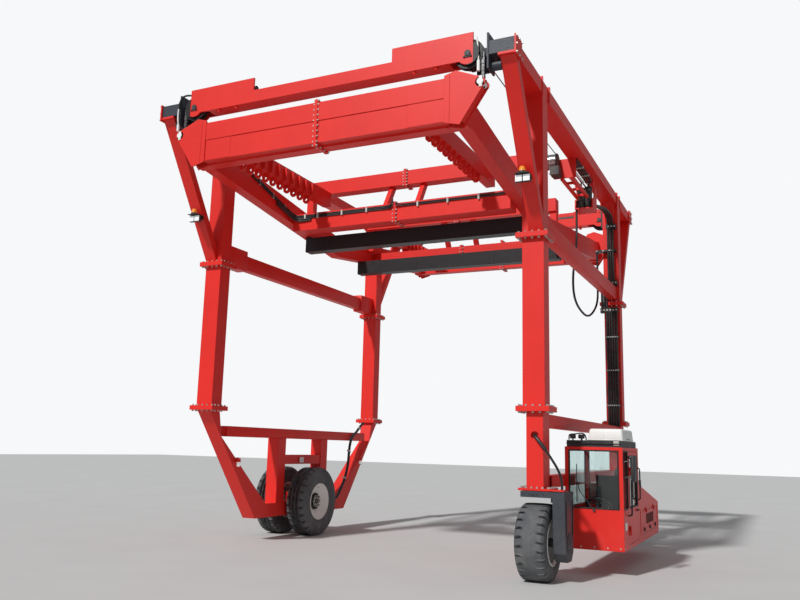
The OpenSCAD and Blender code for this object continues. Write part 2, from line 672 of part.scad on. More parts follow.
// A smooth hose of eight sides through hand-picked points
function between(p, i, t) =
  let (n = len(p) - 1, a = p[max(i - 1, 0)], b = p[i], c = p[min(i + 1, n)], d = p[min(i + 2, n)])
  0.5 * (2 * b + (c - a) * t + (2 * a - 5 * b + 4 * c - d) * t * t + (3 * b - a - 3 * c + d) * t * t * t);
function unit(v) = v / norm(v);
module hose(p, side, r) {
  line = [for (i = [0:len(p) - 2]) for (t = [0, 0.5]) between(p, i, t), p[len(p) - 1]];
  last = len(line) - 1;
  ring = [for (i = [0:last])
    let (t = unit(line[min(i + 1, last)] - line[max(i - 1, 0)]), a = unit(cross(t, side)), b = cross(t, a))
    for (k = [0:7]) line[i] + r * (cos(45 * k) * a + sin(45 * k) * b)];
  walls = [for (i = [0:last - 1]) for (k = [0:7])
    [i * 8 + k, i * 8 + 8 + k, i * 8 + 8 + (k + 1) % 8, i * 8 + (k + 1) % 8]];
  ends = [[for (k = [0:7]) k], [for (k = [7:-1:0]) last * 8 + k]];
  polyhedron(points = ring, faces = concat(walls, ends));
}
// Hangs from the tray under the rail to the clamp on the rear right post
module hose_loop() placed(black) translate([half_track - half_frame, post_in, rail_under])
  hose([
    [-140, -1670, -551.1], [-140, -1670, -600], [-141, -1671, -765], [-143, -1682, -1025],
    [-146, -1710, -1215], [-152, -1805, -1485], [-159, -1903, -1754], [-160, -1938, -1955],
    [-157, -1915, -2125], [-150, -1830, -2255], [-140, -1628, -2357], [-126, -1235, -2425],
    [-118, -899, -2399], [-110, -598, -2297], [-105, -309, -2137], [-101, -160, -1980],
    [-100, -110, -1812], [-100, -100, -1605], [-100, -98, -1305], [-100, -98, -995.4]],
    [1, 0, 0], 20);
// From the port in the front right leg to the bracket beside the yoke
module leg_hose() placed(black) translate([leg_x, -leg_y, leg_foot])
  hose([
    [0, -110.5, 670], [0, -135, 670], [3, -165, 669], [15, -194, 662],
    [40, -215, 640], [75, -228, 602], [118, -235, 550], [165, -238, 486],
    [213, -235, 418], [258, -230, 348], [300, -220, 277], [332, -207, 205],
    [352, -193, 135], [358, -183, 70], [358, -180, 25], [358, -180, -4.5]],
    [0.8, 0.5, 0.2], 16);

module lamps() placed(black) both_sides() {
  back = -strut_front(lamp_z + 14);
  bar(lamp_x, 190, back - 175, back, lamp_z, lamp_z + 14);
  for (dx = [-52, 52]) bar(lamp_x + dx, 85, back - 120, back - 60, lamp_z - 75, lamp_z);
  translate([lamp_x, back - 128, lamp_z + 14]) cylinder(h = 105, r = 42);
}

module mirrors() placed(black) {
  span([cab_outer, cab_front + 20, head_z - 155], [far_x, cab_front + 45, head_z - 130]);
  span([far_x - 40, cab_front + 20, head_z - 405], [far_x, cab_front + 220, head_z - 55]);
}

posts();
post_flanges();
top_rails();
rail_struts();
side_beams();
left_arms();
left_beams();
left_tyres();
left_rims();
right_legs();
front_yoke();
rear_yoke();
front_tyre();
front_rim();
rear_tyre();
rear_rim();
top_beams();
sheaves();
stub_tubes();
hoist_chains();
lifting_beams();
lift_ends();
lug_beams();
lug_plates();
spreader_arms();
cross_beams();
braces();
load_bars();
cab_base();
cab_frame();
cab_glass();
cab_door();
door_glass();
roof_deck();
air_unit();
cab_seat();
engine_house();
engine_door();
engine_block();
hose_bundle();
hoist_units();
hose_loop();
leg_hose();
lamps();
mirrors();
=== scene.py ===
from math import acos, atan2, copysign, cos, degrees, hypot, pi, radians, sin, tan

import bmesh
import bpy
from mathutils import Matrix, Quaternion, Vector


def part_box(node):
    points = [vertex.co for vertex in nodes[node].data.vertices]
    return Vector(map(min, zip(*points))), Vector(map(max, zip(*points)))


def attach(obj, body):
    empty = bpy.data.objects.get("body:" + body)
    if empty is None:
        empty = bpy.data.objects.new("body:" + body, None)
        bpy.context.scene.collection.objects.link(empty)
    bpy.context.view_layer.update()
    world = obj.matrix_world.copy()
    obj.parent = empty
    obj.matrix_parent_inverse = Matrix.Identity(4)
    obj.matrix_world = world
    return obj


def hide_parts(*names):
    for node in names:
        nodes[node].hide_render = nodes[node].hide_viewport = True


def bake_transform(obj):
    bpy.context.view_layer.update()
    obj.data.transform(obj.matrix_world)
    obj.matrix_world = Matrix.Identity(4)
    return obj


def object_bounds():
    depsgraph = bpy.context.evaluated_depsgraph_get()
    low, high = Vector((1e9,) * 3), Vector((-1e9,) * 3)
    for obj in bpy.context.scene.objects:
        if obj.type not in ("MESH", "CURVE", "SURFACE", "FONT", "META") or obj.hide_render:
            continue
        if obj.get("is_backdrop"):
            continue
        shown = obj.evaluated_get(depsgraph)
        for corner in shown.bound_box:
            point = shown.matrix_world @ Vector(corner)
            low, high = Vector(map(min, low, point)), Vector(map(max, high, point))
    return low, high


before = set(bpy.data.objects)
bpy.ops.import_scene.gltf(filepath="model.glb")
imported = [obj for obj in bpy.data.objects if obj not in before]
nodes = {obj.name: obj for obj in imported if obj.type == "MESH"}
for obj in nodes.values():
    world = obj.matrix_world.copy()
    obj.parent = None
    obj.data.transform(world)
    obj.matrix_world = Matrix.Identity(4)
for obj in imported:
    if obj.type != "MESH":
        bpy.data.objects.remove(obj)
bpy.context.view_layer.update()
scene = bpy.context.scene
print("frame loaded:", len(nodes), "nodes")

# every x below is measured from the middle between the side frames
postsLow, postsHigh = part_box("posts")
midX = (postsLow.x + postsHigh.x) / 2
sides = (-1, 1)


def addObject(name, data):
    thing = bpy.data.objects.new(name, data)
    scene.collection.objects.link(thing)
    return thing


# camera, set from the vanishing points of the view
cameraSetup = {"place": (5.6425, -13.16, 1.65), "pan": -25.642, "tilt": 10.366, "roll": 1.456, "lens": 35.93}
data = bpy.data.cameras.new("photoCamera")
data.lens = cameraSetup["lens"]
data.sensor_width = 36
data.clip_end = 300
camera = addObject("photoCamera", data)
pan, tilt, roll = (radians(cameraSetup[key]) for key in ("pan", "tilt", "roll"))
look = Vector((sin(pan) * cos(tilt), cos(pan) * cos(tilt), sin(tilt)))
camera.rotation_euler = (look.to_track_quat("-Z", "Y") @ Quaternion((0, 0, 1), roll)).to_euler()
camera.location = Vector(cameraSetup["place"]) + Vector((midX, 0, 0))
scene.camera = camera
print("camera placed")


# small tools for shader trees
def feed(tree, node, inputs):
    for key, value in inputs.items():
        if isinstance(value, bpy.types.NodeSocket):
            tree.links.new(value, node.inputs[key])
        else:
            node.inputs[key].default_value = value


def add(tree, kind, inputs=None, **settings):
    node = tree.nodes.new("ShaderNode" + kind)
    for key, value in settings.items():
        setattr(node, key, value)
    feed(tree, node, inputs or {})
    return node


def maths(tree, operation, first, second, clamp=False):
    return add(tree, "Math", {0: first, 1: second}, operation=operation, use_clamp=clamp).outputs[0]


def mapped(tree, value, low, high, toLow=0.0, toHigh=1.0):
    limits = {"Value": value, "From Min": low, "From Max": high, "To Min": toLow, "To Max": toHigh}
    return add(tree, "MapRange", limits, clamp=True).outputs["Result"]


def mixColour(tree, factor, first, second):
    return add(tree, "Mix", {0: factor, 6: first, 7: second}, data_type="RGBA").outputs[2]


def noise(tree, vector, scale, detail, roughness):
    look = {"Vector": vector, "Scale": scale, "Detail": detail, "Roughness": roughness}
    return add(tree, "TexNoise", look).outputs["Fac"]


def bands(tree, vector, scale, direction, distortion=0.0):
    look = {"Vector": vector, "Scale": scale, "Distortion": distortion}
    return add(tree, "TexWave", look, wave_type="BANDS", bands_direction=direction).outputs["Fac"]


def stretched(tree, vector, scale):
    return add(tree, "Mapping", {"Vector": vector, "Scale": scale}).outputs["Vector"]


def bumped(tree, height, strength, distance, normal=None):
    given = {"Strength": strength, "Distance": distance, "Height": height}
    if normal is not None:
        given["Normal"] = normal
    return add(tree, "Bump", given).outputs["Normal"]


def makeGroup(name, values, results):
    group = bpy.data.node_groups.new(name, "ShaderNodeTree")
    for way, labels in (("INPUT", ["Vector"] + values), ("OUTPUT", results)):
        for label in labels:
            kind = "NodeSocketVector" if label in ("Vector", "Normal") else "NodeSocketFloat"
            group.interface.new_socket(label, in_out=way, socket_type=kind)
    return group, group.nodes.new("NodeGroupInput").outputs, group.nodes.new("NodeGroupOutput")


def weatherGroup():
    group, given, out = makeGroup("weather", ["Blotch", "Streak"], ["Dirt", "Grain"])
    where = given["Vector"]
    blotch = mapped(group, noise(group, where, given["Blotch"], 5.0, 0.6), 0.44, 0.78)
    runs = mapped(group, noise(group, stretched(group, where, (7.0, 7.0, 0.45)), 2.2, 4.0, 0.6), 0.56, 0.8)
    dirt = maths(group, "ADD", blotch, maths(group, "MULTIPLY", runs, given["Streak"]), clamp=True)
    feed(group, out, {"Dirt": dirt, "Grain": noise(group, where, 55.0, 4.0, 0.6)})
    return group


def wearGroup():
    group, given, out = makeGroup("edgeWear", ["Radius", "Amount"], ["Edge", "Normal"])
    rounded = add(group, "Bevel", {"Radius": given["Radius"]}, samples=4).outputs["Normal"]
    true = add(group, "NewGeometry").outputs["Normal"]
    dot = add(group, "VectorMath", {0: rounded, 1: true}, operation="DOT_PRODUCT")
    edge = mapped(group, dot.outputs["Value"], 0.995, 0.8)
    chips = mapped(group, noise(group, given["Vector"], 14.0, 6.0, 0.7), 0.56, 0.66)
    edge = maths(group, "MULTIPLY", maths(group, "MULTIPLY", edge, chips), given["Amount"], clamp=True)
    feed(group, out, {"Edge": edge, "Normal": rounded})
    return group


def dustGroup():
    group, given, out = makeGroup("roadDust", ["Amount", "Height"], ["Dust"])
    where = given["Vector"]
    level = add(group, "SeparateXYZ", {0: where}).outputs["Z"]
    low = maths(group, "SUBTRACT", 1.0, maths(group, "DIVIDE", level, given["Height"]), clamp=True)
    facing = add(group, "SeparateXYZ", {0: add(group, "NewGeometry").outputs["Normal"]}).outputs["Z"]
    top = mapped(group, facing, 0.6, 1.0, 0.0, 0.6)
    broken = mapped(group, noise(group, where, 7.0, 6.0, 0.65), 0.32, 0.72)
    whole = maths(group, "MULTIPLY", maths(group, "ADD", low, top, clamp=True), broken)
    feed(group, out, {"Dust": maths(group, "MULTIPLY", whole, given["Amount"], clamp=True)})
    return group


weather, edgeWear, roadDust = weatherGroup(), wearGroup(), dustGroup()


def placeGroup(tree, group, **values):
    return add(tree, "Group", values, node_tree=group).outputs


def newMaterial(name):
    material = bpy.data.materials.new(name)
    material.use_nodes = True
    tree = material.node_tree
    return tree, tree.nodes["Principled BSDF"], add(tree, "TexCoord").outputs["Object"]


# painted steel: gloss coat, grime in blotches and runs, chipped edges, dust low down and on top
paintLooks = {
    "redPaint": {
        "colour": (0.74, 0.02, 0.013, 1), "deep": (0.52, 0.012, 0.009, 1), "bare": (0.16, 0.05, 0.035, 1),
        "rough": (0.36, 0.52), "coat": 0.06, "wear": 0.5, "dust": 0.08, "dustHeight": 0.9,
    },
    "darkPaint": {
        "colour": (0.036, 0.043, 0.056, 1), "deep": (0.02, 0.024, 0.03, 1), "bare": (0.22, 0.21, 0.2, 1),
        "rough": (0.38, 0.58), "coat": 0.12, "wear": 0.5, "dust": 0.16, "dustHeight": 1.5,
    },
    "blackPaint": {
        "colour": (0.014, 0.014, 0.016, 1), "deep": (0.006, 0.006, 0.007, 1), "bare": (0.2, 0.19, 0.18, 1),
        "rough": (0.32, 0.55), "coat": 0.1, "wear": 0.7, "dust": 0.25, "dustHeight": 1.0,
    },
    "whitePaint": {
        "colour": (0.8, 0.8, 0.78, 1), "deep": (0.52, 0.5, 0.45, 1), "bare": (0.24, 0.19, 0.15, 1),
        "rough": (0.34, 0.55), "coat": 0.15, "wear": 0.4, "dust": 0.35, "dustHeight": 1.2,
    },
}
dustColour = (0.43, 0.37, 0.29, 1)

for name, look in paintLooks.items():
    tree, shader, where = newMaterial(name)
    soil = placeGroup(tree, weather, Vector=where, Blotch=0.9, Streak=0.55)
    wear = placeGroup(tree, edgeWear, Vector=where, Radius=0.007, Amount=look["wear"])
    dust = placeGroup(tree, roadDust, Vector=where, Amount=look["dust"], Height=look["dustHeight"])["Dust"]
    colour = mixColour(tree, maths(tree, "MULTIPLY", soil["Dirt"], 0.42), look["colour"], look["deep"])
    colour = mixColour(tree, wear["Edge"], colour, look["bare"])
    rough = mapped(tree, soil["Grain"], 0.3, 0.7, *look["rough"])
    feed(tree, shader, {
        "Base Color": mixColour(tree, dust, colour, dustColour),
        "Roughness": maths(tree, "ADD", rough, maths(tree, "MULTIPLY", dust, 0.4), clamp=True),
        "Coat Weight": look["coat"], "Coat Roughness": 0.12, "Specular IOR Level": 0.34,
        "Normal": bumped(tree, soil["Grain"], 0.12, 0.002, wear["Normal"]),
    })

# rubber, metal and plastic: blotches and runs, range of the roughness, and the grain's bump
kinds = {
    "rubber": {"blotch": 3.5, "streak": 0.3, "range": (0.3, 0.7, -0.12, 0.12), "bump": (5.0, 0.65, 0.5, 0.003)},
    "metal": {"blotch": 6.0, "streak": 0.4, "range": (0.25, 0.75, -0.1, 0.15), "bump": (4.0, 0.6, 0.35, 0.002)},
    "plastic": {"blotch": 4.0, "streak": 0.3, "range": (0.3, 0.7, -0.08, 0.12), "bump": (3.0, 0.6, 0.3, 0.001)},
}
# each one's kind, colour, worn colour, roughness, scale of the grain, metallic share, dust and its height
plainLooks = {
    "tyreRubber": ("rubber", (0.064, 0.07, 0.078), (0.115, 0.12, 0.127), 0.74, 60.0, 0.0, 0.14, 1.5),
    # near-black rubber: painted shade for the floors and flanks of the tread grooves
    "grooveRubber": ("rubber", (0.006, 0.006, 0.007), (0.016, 0.016, 0.017), 0.8, 60.0, 0.0, 0.05, 1.5),
    "hoseRubber": ("rubber", (0.01, 0.01, 0.011), (0.028, 0.027, 0.026), 0.42, 220.0, 0.0, 0.1, 1.0),
    "sealRubber": ("rubber", (0.008, 0.008, 0.009), (0.02, 0.02, 0.02), 0.55, 160.0, 0.0, 0.15, 1.0),
    "chainSteel": ("metal", (0.16, 0.16, 0.165), (0.05, 0.042, 0.035), 0.4, 90.0, 0.75, 0.0, 0.0),
    "boltZinc": ("metal", (0.62, 0.6, 0.56), (0.34, 0.3, 0.24), 0.38, 120.0, 0.65, 0.0, 0.0),
    "castIron": ("metal", (0.045, 0.047, 0.05), (0.1, 0.085, 0.07), 0.55, 45.0, 0.3, 0.0, 0.0),
    "brightRod": ("metal", (0.72, 0.72, 0.72), (0.45, 0.44, 0.42), 0.2, 200.0, 0.95, 0.0, 0.0),
    "blackPlastic": ("plastic", (0.018, 0.018, 0.02), (0.05, 0.05, 0.05), 0.5, 150.0, 0.0, 0.2, 1.0),
    "greyPlastic": ("plastic", (0.1, 0.11, 0.12), (0.06, 0.06, 0.06), 0.48, 150.0, 0.0, 0.2, 1.0),
    "tagWhite": ("plastic", (0.85, 0.85, 0.82), (0.6, 0.58, 0.54), 0.45, 150.0, 0.0, 0.2, 1.0),
    "clipPale": ("plastic", (0.58, 0.57, 0.53), (0.36, 0.34, 0.3), 0.45, 150.0, 0.0, 0.2, 1.0),
}
for name, (kind, colour, worn, rough, grain, metallic, dust, dustHeight) in plainLooks.items():
    tree, shader, where = newMaterial(name)
    look = kinds[kind]
    soil = placeGroup(tree, weather, Vector=where, Blotch=look["blotch"], Streak=look["streak"])
    base = mixColour(tree, soil["Dirt"], (*colour, 1), (*worn, 1))
    if dust:
        cover = placeGroup(tree, roadDust, Vector=where, Amount=dust, Height=dustHeight)
        base = mixColour(tree, cover["Dust"], base, dustColour)
    low, high, less, more = look["range"]
    detail, fine, strength, distance = look["bump"]
    feed(tree, shader, {
        "Base Color": base, "Metallic": metallic,
        "Roughness": mapped(tree, soil["Grain"], low, high, rough + less, rough + more),
        "Normal": bumped(tree, noise(tree, where, grain, detail, fine), strength, distance),
    })

tree, shader, where = newMaterial("seatFabric")
weave = bands(tree, where, 90.0, "DIAGONAL", 1.5)
soft = noise(tree, where, 9.0, 4.0, 0.6)
base = mixColour(tree, maths(tree, "MULTIPLY", weave, 0.5), (0.035, 0.037, 0.042, 1), (0.09, 0.09, 0.1, 1))
feed(tree, shader, {
    "Base Color": mixColour(tree, mapped(tree, soft, 0.4, 0.8, 0.0, 0.5), base, (0.13, 0.12, 0.11, 1)),
    "Roughness": mapped(tree, soft, 0.3, 0.7, 0.7, 0.9), "Sheen Weight": 0.25,
    "Normal": bumped(tree, weave, 0.4, 0.001),
})

tree, shader, where = newMaterial("cabGlazing")
smear = noise(tree, stretched(tree, where, (3.0, 3.0, 0.8)), 4.0, 4.0, 0.6)
smeared = mapped(tree, smear, 0.35, 0.75, 0.0, 0.5)
feed(tree, shader, {
    "Base Color": mixColour(tree, smeared, (0.8, 0.89, 0.88, 1), (0.66, 0.74, 0.73, 1)),
    "Roughness": mapped(tree, smear, 0.4, 0.8, 0.0, 0.09), "Transmission Weight": 1.0, "IOR": 1.45,
})

for name, colour, glow, ribs in (("amberLens", (0.95, 0.3, 0.02, 1), 0.1, 22.0),
                                 ("lampLens", (0.9, 0.92, 0.92, 1), 0.25, 16.0)):
    tree, shader, where = newMaterial(name)
    wave = bands(tree, where, ribs, "Z")
    deep = tuple(part * 0.55 for part in colour[:3]) + (1,)
    feed(tree, shader, {
        "Base Color": mixColour(tree, maths(tree, "MULTIPLY", wave, 0.6), colour, deep),
        "Roughness": mapped(tree, wave, 0, 1, 0.1, 0.22), "Coat Weight": 0.6,
        "Emission Color": colour, "Emission Strength": glow, "Normal": bumped(tree, wave, 0.5, 0.003),
    })

tree, shader, where = newMaterial("mirrorFace")
film = noise(tree, where, 12.0, 4.0, 0.6)
feed(tree, shader, {
    "Base Color": mixColour(tree, mapped(tree, film, 0.4, 0.8), (0.86, 0.88, 0.88, 1), (0.62, 0.62, 0.6, 1)),
    "Roughness": mapped(tree, film, 0.4, 0.8, 0.02, 0.16), "Metallic": 1.0,
})
print("materials made:", len(bpy.data.materials))

# the CAD nodes that stay get their finishes
finishes = {
    "redPaint": "posts post_flanges top_rails rail_struts side_beams left_arms left_beams right_legs top_beams "
                "lifting_beams lift_ends lug_beams lug_plates spreader_arms cross_beams braces cab_base cab_frame "
                "cab_door engine_house engine_door",
    "darkPaint": "front_yoke rear_yoke stub_tubes",
    "blackPaint": "load_bars sheaves",
    "whitePaint": "left_rims front_rim rear_rim air_unit",
    "tyreRubber": "left_tyres front_tyre rear_tyre",
    "hoseRubber": "hose_bundle hose_loop leg_hose",
    "chainSteel": "hoist_chains",
    "cabGlazing": "cab_glass door_glass",
    "castIron": "engine_block hoist_units",
    "blackPlastic": "cab_seat lamps mirrors roof_deck",
}
for material, names in finishes.items():
    for name in names.split():
        item = nodes[name]
        if not item.material_slots:
            item.data.materials.append(None)
        for holder in item.material_slots:
            holder.material = bpy.data.materials[material]


# small tools for new pieces
def bevel(bm, edges, offset, segments):
    bmesh.ops.bevel(bm, geom=edges, offset=offset, segments=segments, affect="EDGES", profile=0.5, material=-1)


def turned(bm, size, shape, offset=0.0, segments=1):
    made = bmesh.ops.create_cube(bm, size=1, matrix=shape @ Matrix.Diagonal((*size, 1)))["verts"]
    if offset:
        bevel(bm, list({edge for vert in made for edge in vert.link_edges}), offset, segments)


def block(bm, low, high, offset=0.0, segments=2):
    low, high = Vector(low), Vector(high)
    turned(bm, [abs(part) for part in high - low], Matrix.Translation((low + high) / 2), offset, segments)


def at(spot, turn=0.0, axis="X"):
    return Matrix.Translation(spot) @ Matrix.Rotation(radians(turn), 4, axis)


def rod(bm, start, end, radius, sections=16, endRadius=None):
    start, end = Vector(start), Vector(end)
    way = end - start
    shape = Matrix.Translation((start + end) / 2) @ way.to_track_quat("Z", "Y").to_matrix().to_4x4()
    bmesh.ops.create_cone(bm, cap_ends=True, segments=sections, radius1=radius, depth=way.length, matrix=shape,
                          radius2=radius if endRadius is None else endRadius)


def bolt(bm, place, axis, radius, height):
    place, axis = Vector(place), Vector(axis)
    rod(bm, place, place + axis * 0.003, radius * 1.4, 10)
    rod(bm, place, place + axis * height, radius, 6)


def boltRow(bm, start, end, count, axis, radius, height):
    for step in range(count):
        bolt(bm, Vector(start).lerp(Vector(end), step / (count - 1)), axis, radius, height)


def boltRing(bm, centre, reach, count, side, radius, height, shift=0.0):
    # on a circle about the X axis, the heads to one side
    for step in range(count):
        angle = 2 * pi * (step + shift) / count
        spot = Vector(centre) + Vector((0, reach * cos(angle), reach * sin(angle)))
        bolt(bm, spot, (side, 0, 0), radius, height)


def spun(bm, outline, centre, steps, upright=False):
    # outline in (distance from the axis, place along it), turned about the X axis or an upright one
    centre = Vector(centre)
    verts = [bm.verts.new(centre + Vector((out, 0, along) if upright else (along, 0, out))) for out, along in outline]
    edges = [bm.edges.new(pair) for pair in zip(verts, verts[1:] + verts[:1])]
    bmesh.ops.spin(bm, geom=verts + edges, cent=centre, axis=(0, 0, 1) if upright else (1, 0, 0), angle=2 * pi,
                   steps=steps, use_merge=True, use_normal_flip=False, use_duplicate=False)


def prism(bm, outline, low, high):
    # an outline in (x, z) drawn out along Y, without its two ends
    ends = [[bm.verts.new((x, y, z)) for x, z in outline] for y in (low, high)]
    for a in range(len(outline)):
        b = (a + 1) % len(outline)
        bm.faces.new((ends[0][a], ends[0][b], ends[1][b], ends[1][a]))
    return ends


def smoothLine(points, steps=5):
    points = [Vector(point) for point in points]
    last, line = len(points) - 1, []
    for i in range(last):
        a, b, c, d = points[max(i - 1, 0)], points[i], points[i + 1], points[min(i + 2, last)]
        first, second, third = c - a, 2 * a - 5 * b + 4 * c - d, 3 * b - a - 3 * c + d
        for k in range(steps):
            t = k / steps
            line.append(0.5 * (2 * b + first * t + second * t ** 2 + third * t ** 3))
    line.append(points[last])
    return line


def tubeCurve(name, points, radius, resolution):
    data = bpy.data.curves.new(name, "CURVE")
    data.dimensions = "3D"
    data.bevel_depth = radius
    data.bevel_resolution = resolution
    data.use_fill_caps = True
    spline = data.splines.new("POLY")
    spline.points.add(len(points) - 1)
    for item, point in zip(spline.points, points):
        item.co = (*point, 1)
    return data


def tube(bm, points, radius, resolution=2):
    data = tubeCurve("tubeDraft", points, radius, resolution)
    draft = bpy.data.objects.new("tubeDraft", data)
    mesh = bpy.data.meshes.new_from_object(draft)
    bm.from_mesh(mesh)
    bpy.data.objects.remove(draft)
    bpy.data.curves.remove(data)
    bpy.data.meshes.remove(mesh)


def hoseRows(bm, rows, shift, radius, resolution, route):
    # hoses side by side; a fourth value at a point is its share of the shift
    for row in range(rows):
        line = [Vector(point[:3]) + row * (point[3] if len(point) > 3 else 1) * Vector(shift) for point in route]
        tube(bm, smoothLine(line), radius, resolution)


def mirror(bm, axes):
    # a copy of all that is in the shape so far, on the other side of X or Y
    for axis in axes:
        made = bmesh.ops.duplicate(bm, geom=bm.verts[:] + bm.edges[:] + bm.faces[:])["geom"]
        flip = (-1, 1, 1) if axis == "X" else (1, -1, 1)
        bmesh.ops.scale(bm, vec=flip, verts=[part for part in made if isinstance(part, bmesh.types.BMVert)])
        bmesh.ops.reverse_faces(bm, faces=[part for part in made if isinstance(part, bmesh.types.BMFace)])


def finish(name, bm, material, body="frame", sharp=32.0, replaced=None):
    bmesh.ops.remove_doubles(bm, verts=bm.verts, dist=1e-5)
    bmesh.ops.recalc_face_normals(bm, faces=bm.faces)
    bmesh.ops.translate(bm, vec=(midX, 0, 0), verts=bm.verts)
    mesh = bpy.data.meshes.new(name)
    bm.to_mesh(mesh)
    bm.free()
    mesh.materials.append(bpy.data.materials[material])
    mesh.shade_smooth()
    mesh.set_sharp_from_angle(angle=radians(sharp))
    piece = addObject(name, mesh)
    if body:
        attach(piece, body)
    if replaced:
        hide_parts(replaced)
    return piece


# hydraulic hoses that hang free: their routes repeat the ones in the part's source
hoseRoutes = {
    "hoseLoop": {
        "node": "hose_loop", "radius": 0.02,
        "route": [
            (2.41, 0.99, 6.0039), (2.41, 0.99, 5.955), (2.409, 0.989, 5.79), (2.407, 0.978, 5.53),
            (2.404, 0.95, 5.34), (2.398, 0.855, 5.07), (2.391, 0.757, 4.801), (2.39, 0.722, 4.6),
            (2.393, 0.745, 4.43), (2.4, 0.83, 4.3), (2.41, 1.032, 4.198), (2.424, 1.425, 4.13),
            (2.432, 1.761, 4.156), (2.44, 2.062, 4.258), (2.445, 2.351, 4.418), (2.449, 2.5, 4.575),
            (2.45, 2.55, 4.743), (2.45, 2.56, 4.95), (2.45, 2.562, 5.25), (2.45, 2.562, 5.5596),
        ],
    },
    "legHose": {
        "node": "leg_hose", "radius": 0.016,
        "route": [
            (2.71, -2.8605, 1.83), (2.71, -2.885, 1.83), (2.713, -2.915, 1.829), (2.725, -2.944, 1.822),
            (2.75, -2.965, 1.8), (2.785, -2.978, 1.762), (2.828, -2.985, 1.71), (2.875, -2.988, 1.646),
            (2.923, -2.985, 1.578), (2.968, -2.98, 1.508), (3.01, -2.97, 1.437), (3.042, -2.957, 1.365),
            (3.062, -2.943, 1.295), (3.068, -2.933, 1.23), (3.068, -2.93, 1.185), (3.068, -2.93, 1.1555),
        ],
    },
}
for name, facts in hoseRoutes.items():
    line = [point + Vector((midX, 0, 0)) for point in smoothLine(facts["route"], 6)]
    data = tubeCurve(name, line, facts["radius"], 4)
    data.materials.append(bpy.data.materials["hoseRubber"])
    hose = addObject(name, data)
    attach(hose, "frame")
    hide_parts(facts["node"])

# a ribbed sleeve over the upper end of the hose that runs from the leg to the yoke
bm = bmesh.new()
line = smoothLine(hoseRoutes["legHose"]["route"][1:8], 8)
tube(bm, line, 0.0225, 3)
for a, b in zip(line[2::3], line[3::3]):
    rod(bm, a, b, 0.0255, 12)
finish("legSleeve", bm, "hoseRubber")


# tyres with cut tread
tyreLooks = {
    "right": {
        "radius": 0.485, "half": 0.2, "bead": 0.27, "depth": 0.02, "pitches": 27, "split": 6,
        "crown": (0.118, 0.06), "shoulder": ((0.16, 0.006), (0.18, 0.022), (0.195, 0.055)),
        "rows": ((0.118, 0.196, 0),), "rings": (),
    },
    "left": {
        "radius": 0.61, "half": 0.1825, "bead": 0.305, "depth": 0.026, "pitches": 28, "split": 5,
        "crown": (0.132, 0.082, 0.062, 0.009), "shoulder": ((0.152, 0.006), (0.168, 0.026), (0.178, 0.06)),
        "rows": ((0.009, 0.062, 0), (0.082, 0.179, 2)), "rings": ((0.062, 0.082), (-0.009, 0.009)),
    },
}
rightWheel = {"x": 2.71, "y": 2.75, "z": 0.485}
leftWheels = {"x": -2.7, "apart": 0.345, "y": -0.07, "z": 0.61}


def tyreInto(bm, centre, look):
    radius, half, bead, split = look["radius"], look["half"], look["bead"], look["split"]
    deepest = radius - look["shoulder"][-1][1]
    waist = (deepest + bead) / 2
    wall = [(bead, half - 0.042), (bead + 0.012, half - 0.02), (bead + 0.034, half - 0.01), (bead + 0.04, half - 0.013),
            (bead + 0.052, half - 0.012), (bead + 0.058, half - 0.006), (waist, half - 0.001), (waist + 0.016, half),
            (deepest - 0.026, half), (deepest - 0.02, half - 0.004), (deepest - 0.01, half - 0.003)]
    wall += [(radius - drop, x) for x, drop in reversed(look["shoulder"])]
    wall += [(radius - 0.003 * (x / look["crown"][0]) ** 2, x) for x in look["crown"]]
    steps = look["pitches"] * split
    start = len(bm.faces)
    spun(bm, [(r, -x) for r, x in wall] + [(r, x) for r, x in reversed(wall)], centre, steps)
    bm.faces.ensure_lookup_table()
    bmesh.ops.recalc_face_normals(bm, faces=bm.faces[start:])
    # the grooves are pressed in along rows of faces, one step wide, and along the rings
    cut = []
    for face in bm.faces[start:]:
        spot = face.calc_center_median() - centre
        if hypot(spot.y, spot.z) < deepest - 0.003:
            continue
        step = int(degrees(atan2(spot.y, spot.z)) % 360 / (360 / steps)) + (split // 2 if spot.x > 0 else 0)
        inRing = any(low < spot.x < high or low < -spot.x < high for low, high in look["rings"])
        inRow = any(low < abs(spot.x) < high and (step + shift) % split == 0 for low, high, shift in look["rows"])
        if inRing or inRow:
            cut.append(face)
    made = bmesh.ops.extrude_face_region(bm, geom=cut)["geom"]
    for vert in (part for part in made if isinstance(part, bmesh.types.BMVert)):
        spot = vert.co - centre
        inward = 0.004 * copysign(1, spot.x) if abs(spot.x) > half - 0.03 else 0
        vert.co -= Vector((0, spot.y, spot.z)).normalized() * look["depth"] + Vector((inward, 0, 0))
    # floors and flanks of the grooves take the near-black rubber: painted shade in the grooves
    flat = sorted((x, r) for r, x in wall if r > deepest - 0.001)
    bm.faces.ensure_lookup_table()
    for face in bm.faces[start:]:
        spot = face.calc_center_median() - centre
        x, reach = abs(spot.x), hypot(spot.y, spot.z)
        above = radius
        for (xa, ra), (xb, rb) in zip(flat, flat[1:]):
            if xa <= x <= xb:
                above = ra + (rb - ra) * (x - xa) / (xb - xa)
        if x < flat[-1][0] and deepest - look["depth"] < reach < above - 0.006:
            face.material_index = 1


